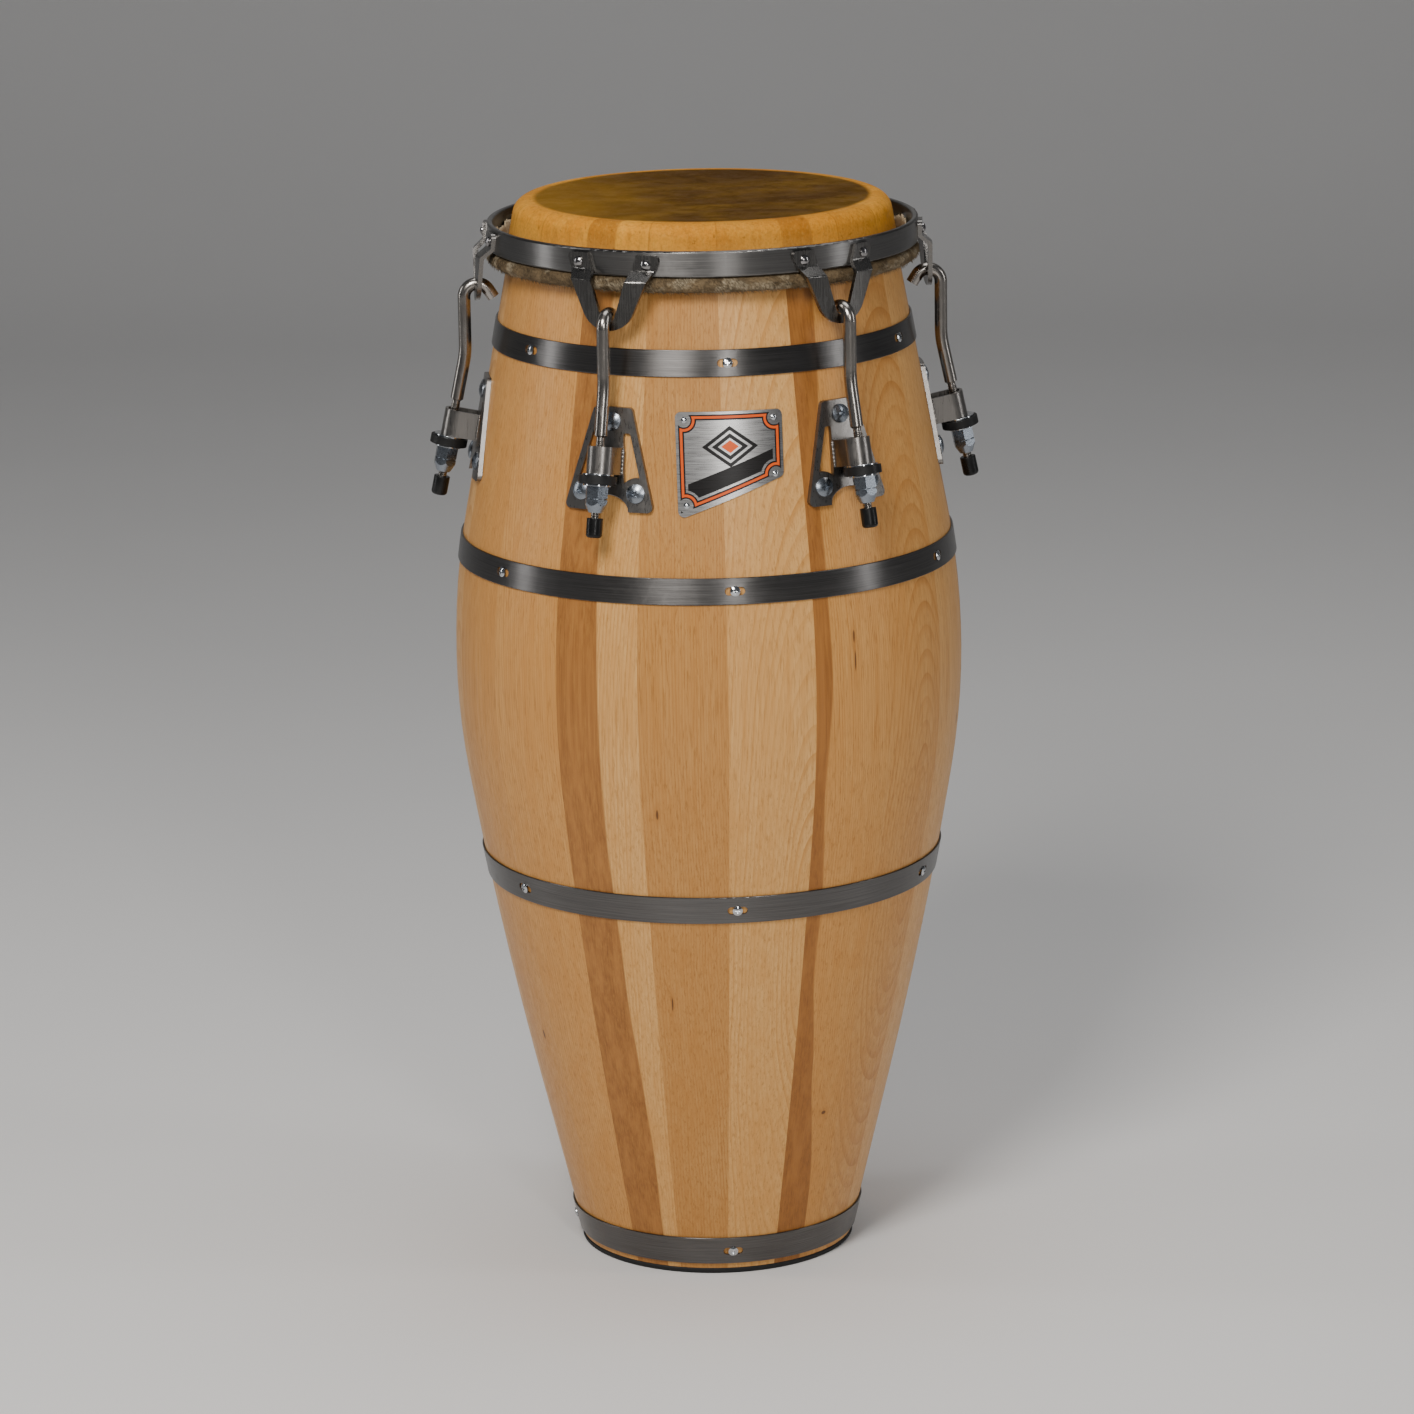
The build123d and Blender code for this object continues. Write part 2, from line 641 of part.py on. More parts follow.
with BuildPart() as one_ear:
    with BuildSketch(radial_plane(-20)):
        add(ear_section.sketch)
    revolve(axis=Axis.Z, revolution_arc=40)
    extrude(ear_outline.sketch, amount=REACH, mode=Mode.INTERSECT)
    for side in (-1, 1):
        with BuildSketch(outward_plane(side * rivet_azimuth, RIM_OUTER, RIVET_HEIGHT)):
            Circle(RIVET_SHANK + SEATING)
        extrude(amount=3 * SHEET, both=True, mode=Mode.SUBTRACT)

with BuildPart() as ears:
    with PolarLocations(0, LUGS, start_angle=LUG_AZIMUTHS[0]):
        add(one_ear.part)
ears.part.label = "ears"
export_step(ears.part, "parts/ears.step")

RIVET_SEAT = RIM_OUTER + SHEET + 3 * SEATING
RIVET_GRIP = SHEET + RIM_THICKNESS + 6 * SEATING

with BuildPart() as one_rivet:
    with BuildSketch(Plane.XZ):
        add(domed_head(*RIVET_HEAD))
    revolve(axis=Axis.Z)
    with BuildSketch(Plane.XY):
        Circle(RIVET_SHANK)
    extrude(amount=-RIVET_GRIP)
    with BuildSketch(Plane.XY.offset(-RIVET_GRIP)):
        Circle(RIVET_FOOT[0])
    extrude(amount=-RIVET_FOOT[1])

with BuildPart() as ear_rivets:
    with Locations(*[outward_plane(a, RIVET_SEAT, RIVET_HEIGHT) for a in RIVET_AZIMUTHS]):
        add(one_rivet.part)
ear_rivets.part.label = "ear_rivets"
export_step(ear_rivets.part, "parts/ear_rivets.step")

# ---- Tuning hooks, caps, nuts and washers ---------------------------------------------------------------------

# the bend between the hook's upright shank and its leaning one
shank_radius = HOOK_CENTRE[0] + HOOK_BEND
bend_corner = (shank_radius - AXIS_RADIUS) / sin(radians(LEAN))
bend_reach = SHANK_BEND * tan(radians(LEAN / 2))
bend_start = (shank_radius, shank_point(bend_corner)[1] + bend_reach)

sweep_end = radians(HOOK_SWEEP)
tip_start = (HOOK_CENTRE[0] + HOOK_BEND * cos(sweep_end), HOOK_CENTRE[1] + HOOK_BEND * sin(sweep_end))
tip_end = (tip_start[0] - HOOK_TIP * sin(sweep_end), tip_start[1] + HOOK_TIP * cos(sweep_end))

with BuildPart() as one_hook:
    with BuildLine(radial_plane(0)):
        CenterArc(HOOK_CENTRE, HOOK_BEND, 0, HOOK_SWEEP)
        Line(tip_start, tip_end)
        Line((shank_radius, HOOK_CENTRE[1]), bend_start)
        JernArc(bend_start, (0, -1), SHANK_BEND, LEAN)
        Line(shank_point(bend_corner + bend_reach), shank_point(SHOULDER_AT))
    with BuildSketch(shank_plane(SHOULDER_AT)):
        Circle(ROD)
    sweep()
    chamfer(one_hook.edges().filter_by(GeomType.CIRCLE).sort_by(Axis.Z)[0], 1.2)
    with BuildSketch(shank_plane(SHOULDER_AT)):
        Circle(THREAD_ROOT)
    extrude(amount=CAP[0] + CAP_DEPTH - 10 * SEATING - SHOULDER_AT)

with BuildPart() as one_cap:
    with BuildSketch(shank_plane(CAP[0])):
        Circle(CAP_RADIUS)
    extrude(amount=CAP[1] - CAP[0])
    fillet(one_cap.edges().sort_by(Axis.Z)[0], 2.4)
    fillet(one_cap.edges().sort_by(Axis.Z)[-1], 0.5)
    with BuildSketch(shank_plane(CAP[0])):
        Circle(THREAD_ROOT + SEATING)
    extrude(amount=CAP_DEPTH, mode=Mode.SUBTRACT)

nut_length = NUT[1] - NUT[0]
nut_corner = NUT_FLATS / 2 / cos(radians(30))
groove_floor = NUT_FLATS / 2 - 0.4

with BuildPart() as one_nut:
    with BuildSketch(shank_plane(NUT[0])):
        RegularPolygon(NUT_FLATS / 2, 6, major_radius=False)
    extrude(amount=nut_length)
    with BuildSketch(Plane.XZ) as nut_turning:
        with BuildLine():
            Polyline(
                (0, 0),
                (nut_corner - 0.6, 0),
                (nut_corner, 0.6),
                (nut_corner, NUT_GROOVE - 0.5),
                (groove_floor, NUT_GROOVE - 0.2),
                (groove_floor, NUT_GROOVE + 0.2),
                (nut_corner, NUT_GROOVE + 0.5),
                (nut_corner, NUT_GROOVE + 2.6),
                (NUT_END, nut_length),
                (0, nut_length),
                close=True,
            )
        make_face()
    with BuildPart(mode=Mode.PRIVATE) as turned:
        revolve(nut_turning.sketch, axis=Axis.Z)
    with Locations(shank_plane(NUT[0])):
        add(turned.part, mode=Mode.INTERSECT)
    with BuildSketch(shank_plane(NUT[0])):
        Circle(NUT_BORE)
    extrude(amount=nut_length, mode=Mode.SUBTRACT)


def washers(*sizes):
    """Washers on the lower shank at azimuth 0."""
    with BuildPart() as stack:
        for start, end, radius in sizes:
            with BuildSketch(shank_plane(start)):
                Circle(radius)
            extrude(amount=end - start)
        fillet(stack.edges(), 0.25)
        with BuildSketch(shank_plane(sizes[0][0])):
            Circle(WASHER_BORE)
        extrude(amount=sizes[-1][1] - sizes[0][0], mode=Mode.SUBTRACT)
    return stack.part


def place_at_lugs(piece, azimuths):
    """Copies of a piece made at azimuth 0, turned to these azimuths."""
    with BuildPart() as placed:
        with Locations(*[Rotation(0, 0, azimuth) for azimuth in azimuths]):
            add(piece)
    return placed.part


for number, lug in enumerate(LUG_AZIMUTHS, start=1):
    lug_pieces = {"tuning_hook": one_hook.part, "hook_cap": one_cap.part, "tuning_nut": one_nut.part}
    for piece_name, piece in lug_pieces.items():
        placed_piece = place_at_lugs(piece, [lug])
        placed_piece.label = f"{piece_name}_{number}"
        export_step(placed_piece, f"parts/{placed_piece.label}.step")

washer_sets = {
    "steel_washers": washers(UPPER_WASHER, LOWER_WASHER),
    "rubber_washers": washers(RUBBER_WASHER),
}
for set_name, washer_set in washer_sets.items():
    washer_part = place_at_lugs(washer_set, LUG_AZIMUTHS)
    washer_part.label = set_name
    export_step(washer_part, f"parts/{set_name}.step")
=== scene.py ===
"""Looks for the conga drum: hide, hair, threads and welds as meshes, and all materials as nodes.

Metres, in the frame's own coordinates. Azimuths count from -Y towards +X, in degrees.
"""

import random
from math import cos, hypot, pi, radians, sin, tan

import bmesh
import bpy
from mathutils import Matrix, Vector, noise


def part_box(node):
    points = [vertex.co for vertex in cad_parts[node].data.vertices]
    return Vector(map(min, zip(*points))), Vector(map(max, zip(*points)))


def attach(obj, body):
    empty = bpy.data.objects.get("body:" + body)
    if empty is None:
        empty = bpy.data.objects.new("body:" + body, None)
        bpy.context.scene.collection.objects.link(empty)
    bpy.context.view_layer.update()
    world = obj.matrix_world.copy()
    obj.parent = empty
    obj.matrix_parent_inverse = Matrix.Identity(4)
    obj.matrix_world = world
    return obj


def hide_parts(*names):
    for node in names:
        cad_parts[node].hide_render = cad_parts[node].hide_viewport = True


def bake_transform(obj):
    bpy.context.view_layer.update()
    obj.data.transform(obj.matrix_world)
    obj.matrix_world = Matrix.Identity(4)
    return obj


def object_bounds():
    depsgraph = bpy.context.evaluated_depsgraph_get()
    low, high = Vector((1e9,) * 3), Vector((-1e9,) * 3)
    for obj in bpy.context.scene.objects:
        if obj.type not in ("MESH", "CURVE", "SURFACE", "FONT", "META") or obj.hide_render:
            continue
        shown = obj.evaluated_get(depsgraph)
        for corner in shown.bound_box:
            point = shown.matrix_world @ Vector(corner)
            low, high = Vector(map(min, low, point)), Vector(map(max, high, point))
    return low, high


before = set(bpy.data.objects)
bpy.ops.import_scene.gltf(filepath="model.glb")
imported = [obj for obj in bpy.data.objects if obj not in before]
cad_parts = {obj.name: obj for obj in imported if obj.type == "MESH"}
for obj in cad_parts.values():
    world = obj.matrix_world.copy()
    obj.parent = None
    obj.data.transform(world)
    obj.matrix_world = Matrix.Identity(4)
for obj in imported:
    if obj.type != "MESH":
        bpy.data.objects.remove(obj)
cad_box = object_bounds()

# ---- Places, worked out from the frame -----------------------------------------------------------

STAVES = 18
FIRST_JOINT = -2.0
STAVE_ANGLE = 360 / STAVES
LUG_AZIMUTHS = [30 + 60 * k for k in range(6)]
LEAN = radians(12.0)

head_low, head_high = (Vector(corner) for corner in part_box("drumhead"))
roll_low, roll_high = (Vector(corner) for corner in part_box("skin_roll"))
badge_low, badge_high = (Vector(corner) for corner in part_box("badge_plate"))
bracket_low, bracket_high = (Vector(corner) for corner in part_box("lug_brackets"))
rim_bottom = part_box("rim")[0][2]
top_of_drum = cad_box[1][2]

# ---- Shader helpers ------------------------------------------------------------------------------


def new_material(name):
    """A node material, its tree and its Principled node."""
    material = bpy.data.materials.new(name)
    material.use_nodes = True
    tree = material.node_tree
    return material, tree, tree.nodes["Principled BSDF"]


def feed(tree, socket, value):
    """Links a socket to an output, or sets it to a plain value."""
    if isinstance(value, bpy.types.NodeSocket):
        tree.links.new(value, socket)
    elif isinstance(value, (tuple, list)) and len(value) == 3 and len(socket.default_value) == 4:
        socket.default_value = (*value, 1.0)
    else:
        socket.default_value = value


def calc(tree, operation, a, b=None, c=None, clamp=False):
    """Output of a Math node."""
    node = tree.nodes.new("ShaderNodeMath")
    node.operation = operation
    node.use_clamp = clamp
    for socket, value in zip(node.inputs, (a, b, c)):
        if value is not None:
            feed(tree, socket, value)
    return node.outputs[0]


def swing(tree, value, amount):
    """A noise value turned into a push to either side of nought, of up to half this amount."""
    return calc(tree, "MULTIPLY", calc(tree, "SUBTRACT", value, 0.5), amount)


def vector_calc(tree, operation, a, b):
    """Output of a Vector Math node."""
    node = tree.nodes.new("ShaderNodeVectorMath")
    node.operation = operation
    feed(tree, node.inputs[0], a)
    feed(tree, node.inputs[1], b)
    return node.outputs[0]


def combine(tree, x, y, z):
    """A vector from three numbers or outputs."""
    node = tree.nodes.new("ShaderNodeCombineXYZ")
    for socket, value in zip(node.inputs, (x, y, z)):
        feed(tree, socket, value)
    return node.outputs[0]


def blend(tree, factor, a, b):
    """Output of a colour Mix node."""
    node = tree.nodes.new("ShaderNodeMix")
    node.data_type = "RGBA"
    feed(tree, node.inputs["Factor"], factor)
    feed(tree, node.inputs[6], a)
    feed(tree, node.inputs[7], b)
    return node.outputs[2]


def spread(tree, value, low, high, new_low=0.0, new_high=1.0):
    """A value mapped smoothly from one range to another and held there."""
    node = tree.nodes.new("ShaderNodeMapRange")
    node.interpolation_type = "SMOOTHSTEP"
    for name, number in (
        ("Value", value),
        ("From Min", low),
        ("From Max", high),
        ("To Min", new_low),
        ("To Max", new_high),
    ):
        feed(tree, node.inputs[name], number)
    return node.outputs[0]


def overlay(tree, under, over, value, low, high, amount=1.0):
    """One colour laid over another, by an amount that grows as a value goes from low to high."""
    return blend(tree, spread(tree, value, low, high, 0.0, amount), under, over)


def cloud(tree, vector, scale, detail=3.0, roughness=0.55, distortion=0.0):
    """Noise value from 0 to 1."""
    node = tree.nodes.new("ShaderNodeTexNoise")
    feed(tree, node.inputs["Vector"], vector)
    node.inputs["Scale"].default_value = scale
    node.inputs["Detail"].default_value = detail
    node.inputs["Roughness"].default_value = roughness
    node.inputs["Distortion"].default_value = distortion
    return node.outputs[0]


def stretched(tree, vector, x, y, z):
    """A vector with each axis scaled by its own amount."""
    return vector_calc(tree, "MULTIPLY", vector, (x, y, z))


def eased_ramp(tree, factor, stops):
    """Value of an eased ramp, whose stops are (place, value)."""
    node = tree.nodes.new("ShaderNodeValToRGB")
    node.color_ramp.interpolation = "EASE"
    elements = node.color_ramp.elements
    while len(elements) < len(stops):
        elements.new(0.5)
    for element, (place, value) in zip(elements, stops):
        element.position = place
        element.color = (value, value, value, 1.0)
    feed(tree, node.inputs[0], factor)
    return node.outputs[0]


def bump(tree, shader, height, strength, distance):
    """Bumps a shader's surface by a height value."""
    node = tree.nodes.new("ShaderNodeBump")
    node.inputs["Strength"].default_value = strength
    node.inputs["Distance"].default_value = distance
    feed(tree, node.inputs["Height"], height)
    tree.links.new(node.outputs[0], shader.inputs["Normal"])


def shaded(colour, factor):
    """A colour made lighter or darker, by one number or by one for each channel."""
    factors = factor if isinstance(factor, tuple) else (factor,) * 3
    return tuple(channel * share for channel, share in zip(colour, factors))


def object_place(tree, turn=0.0):
    """A point's place on the object, with the drum first turned about its axis by some degrees."""
    place = tree.nodes.new("ShaderNodeTexCoord").outputs["Object"]
    if turn == 0.0:
        return place
    node = tree.nodes.new("ShaderNodeVectorRotate")
    node.rotation_type = "Z_AXIS"
    node.inputs["Angle"].default_value = radians(turn)
    feed(tree, node.inputs["Vector"], place)
    return node.outputs[0]


def split_place(tree, vector):
    """A vector's three parts."""
    node = tree.nodes.new("ShaderNodeSeparateXYZ")
    feed(tree, node.inputs[0], vector)
    return node.outputs[0], node.outputs[1], node.outputs[2]


def azimuth_of(tree, x, y):
    """Azimuth in degrees."""
    turn = calc(tree, "ARCTAN2", x, calc(tree, "MULTIPLY", y, -1.0))
    return calc(tree, "MULTIPLY", turn, 180 / pi)


def radius_of(tree, x, y):
    """Distance from the drum's axis."""
    squares = calc(tree, "ADD", calc(tree, "MULTIPLY", x, x), calc(tree, "MULTIPLY", y, y))
    return calc(tree, "SQRT", squares)


# ---- Wood ----------------------------------------------------------------------------------------

CREAM = (0.68, 0.384, 0.136)
HONEY = (0.60, 0.308, 0.092)
TAN = (0.54, 0.278, 0.085)
HEART = (0.23, 0.080, 0.015)

# for each stave from azimuth -2 on: tone, growth rings' sideways centre and depth in metres, how
# fast the cut runs through them, ring spacing, and the heartwood's far edge across the stave at the
# foot, belly and head, or None
STAVE_LOOKS = [
    (CREAM, 0.030, 0.018, 0.15, 0.0030, None),
    (HONEY, -0.070, 0.045, 0.02, 0.0016, (0.62, 0.17, 0.42)),
    (HONEY, 0.010, 0.012, 0.20, 0.0034, None),
    (CREAM, 0.070, 0.060, 0.02, 0.0016, None),
    (TAN, -0.055, 0.030, 0.05, 0.0019, None),
    (CREAM, 0.045, 0.018, 0.12, 0.0028, None),
    (HONEY, -0.020, 0.014, 0.17, 0.0032, (0.30, 0.22, 0.12)),
    (CREAM, 0.080, 0.050, 0.02, 0.0016, None),
    (TAN, 0.025, 0.018, 0.14, 0.0030, None),
    (CREAM, -0.070, 0.040, 0.03, 0.0017, None),
    (HONEY, 0.015, 0.014, 0.18, 0.0034, None),
    (CREAM, 0.060, 0.050, 0.02, 0.0016, (0.20, 0.42, 0.55)),
    (TAN, -0.055, 0.035, 0.04, 0.0017, None),
    (CREAM, 0.020, 0.018, 0.15, 0.0031, None),
    (HONEY, 0.075, 0.050, 0.02, 0.0016, None),
    (HONEY, -0.060, 0.030, 0.05, 0.0019, None),
    (CREAM, 0.065, 0.045, 0.05, 0.0018, (0.70, 0.50, 0.46)),
    (TAN, -0.065, 0.055, 0.02, 0.0016, None),
]

RING_MIDDLE_HEIGHT = 0.38  # where the rings' depth is the one given above
FACE_RADIUS = 0.165  # about the shell's radius, to place the knots by azimuth
# darkness through one year's growth
LATE_WOOD = [(0.0, 0.35), (0.08, 0.0), (0.55, 0.12), (0.86, 0.75), (0.97, 1.0)]
HEART_FADE = (0.40, 0.165, 0.040)
KNOT_CORE = (0.10, 0.036, 0.010)
PORE_TONE = (0.26, 0.12, 0.04)
FLECK_TONE = (0.30, 0.13, 0.04)

# small knots: azimuth, height, half width and half length in metres
KNOTS = [
    (27.9, 0.4780, 0.0011, 0.0050),
    (28.1, 0.4610, 0.0008, 0.0080),
    (-18.7, 0.3590, 0.0010, 0.0042),
    (30.5, 0.1200, 0.0022, 0.0016),
    (-16.9, 0.2150, 0.0007, 0.0060),
    (74.0, 0.3900, 0.0016, 0.0046),
    (122.0, 0.5600, 0.0010, 0.0055),
    (171.0, 0.2400, 0.0020, 0.0024),
    (213.0, 0.4200, 0.0012, 0.0060),
    (291.0, 0.1700, 0.0015, 0.0040),
]


def wood_tree(tree, look, middle, seed):
    """Colour, roughness and bump height of one stave, whose middle is at this azimuth."""
    tone, ring_side, ring_depth, ring_run, ring_gap, heart = look
    place = object_place(tree, -middle)
    x, y, z = split_place(tree, place)
    shift = (seed * 0.37, seed * 0.61, seed * 0.23)

    def grain(width, length, detail, roughness=0.55):
        """Noise drawn out along the stave, with so many features in a metre across and along it."""
        spot = vector_calc(tree, "ADD", stretched(tree, place, width, width, length), shift)
        return cloud(tree, spot, 1.0, detail, roughness)

    drift = grain(14, 3.2, 2.0)
    fine_warp = swing(tree, grain(90, 14, 2.0), 0.0016)
    side = calc(tree, "SUBTRACT", x, ring_side)
    side = calc(tree, "ADD", calc(tree, "ADD", side, swing(tree, drift, 0.016)), fine_warp)
    above_middle = calc(tree, "SUBTRACT", z, RING_MIDDLE_HEIGHT)
    deep = calc(tree, "MULTIPLY_ADD", above_middle, ring_run, ring_depth)
    rings = calc(tree, "DIVIDE", radius_of(tree, side, deep), ring_gap)
    year = cloud(tree, combine(tree, calc(tree, "FLOOR", rings), seed * 3.1, 0.0), 1.7, 1.0)
    late = eased_ramp(tree, calc(tree, "FRACT", rings), LATE_WOOD)
    late = calc(tree, "MULTIPLY", late, spread(tree, year, 0.3, 0.7, 0.35, 1.0))

    fibre = grain(520, 9, 3.0, 0.65)
    streaks = grain(130, 2.2, 3.0, 0.6)
    patches = grain(16, 3.0, 2.0)
    pore_mark = spread(tree, grain(1500, 55, 2.0), 0.64, 0.74)
    dashes = grain(860, 42, 3.0, 0.7)
    fleck_mark = spread(tree, grain(60, 7, 1.0), 0.80, 0.86)

    dark = shaded(tone, (0.72, 0.57, 0.38))
    deep_tone = shaded(tone, (0.86, 0.74, 0.56))
    colour = blend(tree, calc(tree, "MULTIPLY", late, 0.95), tone, dark)
    colour = overlay(tree, colour, deep_tone, streaks, 0.42, 0.68, 0.50)
    colour = overlay(tree, colour, deep_tone, patches, 0.40, 0.72, 0.45)
    if heart:
        across = calc(tree, "MULTIPLY_ADD", azimuth_of(tree, x, y), 1 / STAVE_ANGLE, 0.5)
        foot, belly, head = heart
        height = calc(tree, "DIVIDE", z, top_of_drum)
        edge = eased_ramp(tree, height, [(0.0, foot), (0.36, belly), (0.70, belly), (1.0, head)])
        inside = calc(tree, "SUBTRACT", calc(tree, "ADD", edge, swing(tree, drift, 0.45)), across)
        mask = spread(tree, inside, -0.015, 0.02)
        heart_line = blend(tree, calc(tree, "MULTIPLY", late, 0.55), HEART, shaded(HEART, 0.62))
        heart_line = overlay(tree, heart_line, HEART_FADE, streaks, 0.42, 0.70, 0.55)
        colour = blend(tree, calc(tree, "MULTIPLY", mask, 0.92), colour, heart_line)
    colour = overlay(tree, colour, dark, fibre, 0.30, 0.72, 0.38)
    colour = overlay(tree, colour, shaded(dark, 0.80), dashes, 0.50, 0.70, 0.70)
    for azimuth, knot_height, half_width, half_length in KNOTS:
        off_middle = (azimuth - middle + 180) % 360 - 180
        if abs(off_middle) > STAVE_ANGLE / 2:
            continue
        knot_side = FACE_RADIUS * sin(radians(off_middle))
        off_side = calc(tree, "SUBTRACT", calc(tree, "ADD", x, fine_warp), knot_side)
        knot_x = calc(tree, "DIVIDE", off_side, half_width)
        knot_z = calc(tree, "DIVIDE", calc(tree, "SUBTRACT", z, knot_height), half_length)
        from_knot = radius_of(tree, knot_x, knot_z)
        colour = blend(tree, spread(tree, from_knot, 1.0, 3.2, 0.45, 0.0), colour, dark)
        colour = blend(tree, spread(tree, from_knot, 0.6, 1.1, 0.88, 0.0), colour, KNOT_CORE)
    colour = blend(tree, calc(tree, "MULTIPLY", pore_mark, 0.40), colour, PORE_TONE)
    colour = blend(tree, calc(tree, "MULTIPLY", fleck_mark, 0.50), colour, FLECK_TONE)
    roughness = spread(tree, fibre, 0.25, 0.75, 0.36, 0.50)
    pitted = calc(tree, "MULTIPLY_ADD", pore_mark, -0.8, fibre)
    height = calc(tree, "MULTIPLY_ADD", late, 0.4, pitted)
    return colour, roughness, height


def wood(number, look):
    """Satin lacquered wood for one stave."""
    material, tree, shader = new_material(f"stave_wood_{number + 1:02d}")
    middle = FIRST_JOINT + STAVE_ANGLE * (number + 0.5)
    colour, roughness, height = wood_tree(tree, look, middle, number + 1)
    feed(tree, shader.inputs["Base Color"], colour)
    feed(tree, shader.inputs["Roughness"], roughness)
    shader.inputs["Specular IOR Level"].default_value = 0.26
    shader.inputs["Coat Weight"].default_value = 0.07
    shader.inputs["Coat Roughness"].default_value = 0.30
    bump(tree, shader, height, 0.25, 0.0002)
    return material


# ---- Metals --------------------------------------------------------------------------------------


def brushed_metal(name, colour, roughness, along, streak, wear, coarse=1.0):
    """Metal with fine scratches along one way: round the drum, up it, or every way."""
    material, tree, shader = new_material(name)
    place = object_place(tree)
    x, y, z = split_place(tree, place)
    if along == "round":
        turn = calc(tree, "MULTIPLY", azimuth_of(tree, x, y), 0.05)
        height = calc(tree, "MULTIPLY", z, 2600 * coarse)
        radius = calc(tree, "MULTIPLY", radius_of(tree, x, y), 900)
        grain_place = combine(tree, turn, height, radius)
    elif along == "up":
        grain_place = stretched(tree, place, 2200 * coarse, 2200 * coarse, 40)
    else:
        fine = 900 * coarse
        grain_place = stretched(tree, place, fine, fine, fine)
    scratches = cloud(tree, grain_place, 1.0, 4.0, 0.7)
    smears = cloud(tree, place, 38.0, 4.0, 0.6, 0.6)
    blotches = cloud(tree, place, 160.0, 3.0, 0.6)
    dark, light = shaded(colour, 1 - streak), shaded(colour, 1 + streak)
    tint = overlay(tree, dark, light, scratches, 0.3, 0.7)
    tint = overlay(tree, tint, shaded(colour, 0.7), smears, 0.50, 0.80, wear)
    feed(tree, shader.inputs["Base Color"], tint)
    shader.inputs["Metallic"].default_value = 1.0
    rough = calc(tree, "MULTIPLY_ADD", spread(tree, scratches, 0.25, 0.75), 0.10, roughness - 0.04)
    rough = calc(tree, "MULTIPLY_ADD", spread(tree, blotches, 0.45, 0.80), 0.05, rough)
    feed(tree, shader.inputs["Roughness"], rough)
    if along == "round":
        tangent = tree.nodes.new("ShaderNodeTangent")
        tangent.direction_type = "RADIAL"
        tangent.axis = "Z"
        feed(tree, shader.inputs["Tangent"], tangent.outputs[0])
        shader.inputs["Anisotropic"].default_value = 0.85
        shader.inputs["Anisotropic Rotation"].default_value = 0.25
    bump(tree, shader, scratches, 0.05 if along == "round" else 0.02, 0.00003)
    return material


def rubber(name, colour, roughness):
    """Matte rubber with a fine moulded grain and dust."""
    material, tree, shader = new_material(name)
    place = object_place(tree)
    grain = cloud(tree, place, 900.0, 3.0)
    dust = cloud(tree, place, 70.0, 4.0, 0.65)
    dusty = tuple(channel + 0.02 for channel in colour)
    tint = overlay(tree, colour, dusty, dust, 0.5, 0.8, 0.35)
    feed(tree, shader.inputs["Base Color"], tint)
    shader.inputs["Specular IOR Level"].default_value = 0.30
    rough = spread(tree, dust, 0.3, 0.7, roughness - 0.08, roughness + 0.1)
    feed(tree, shader.inputs["Roughness"], rough)
    bump(tree, shader, grain, 0.3, 0.0002)
    return material


# ---- Badge ---------------------------------------------------------------------------------------

# black line, orange stripe and black line, in from the edge
BADGE_BORDER = (0.0019, 0.0029, 0.0045, 0.0056)
BADGE_RISE = 0.0274  # the right lower corner stands this much above the left one
BADGE_STEEL = (0.27, 0.265, 0.26)
BADGE_SHINE = (0.47, 0.465, 0.46)
BADGE_PINS = ((-0.0311, 0.6319), (0.0311, 0.6319), (-0.0311, 0.5747), (0.0311, 0.5941))
PIN_CLEAR = 0.0030
FOOT_PANEL = (0.0074, 0.0182)  # dark panel along the lower edge
PANEL_INSET = 0.0072
DIAMOND_HEIGHT = 0.665  # the diamonds' middle, as a share of the plate's height
DIAMOND_SLIMNESS = 0.72
DIAMOND_GAP = 0.0025
DIAMOND_LINE = 0.0010
DIAMOND_REACH = 0.01385
DIAMOND_CORE = 0.00435
ORANGE = (0.72, 0.10, 0.012)
INK = (0.012, 0.011, 0.011)


def between(tree, value, low, high):
    """1 where a value lies between two sizes, with a thin soft edge."""
    soft = 0.00012
    past_low = spread(tree, value, low - soft, low)
    return calc(tree, "MULTIPLY", past_low, spread(tree, value, high, high + soft, 1.0, 0.0))


def short_of(tree, value, size):
    """1 where a value is under a size, with a thin soft edge."""
    return spread(tree, value, size - 0.00005, size + 0.00005, 1.0, 0.0)


def past(tree, value, size):
    """1 where a value is over a size, with a soft edge."""
    return spread(tree, value, size - 0.0001, size + 0.0001)


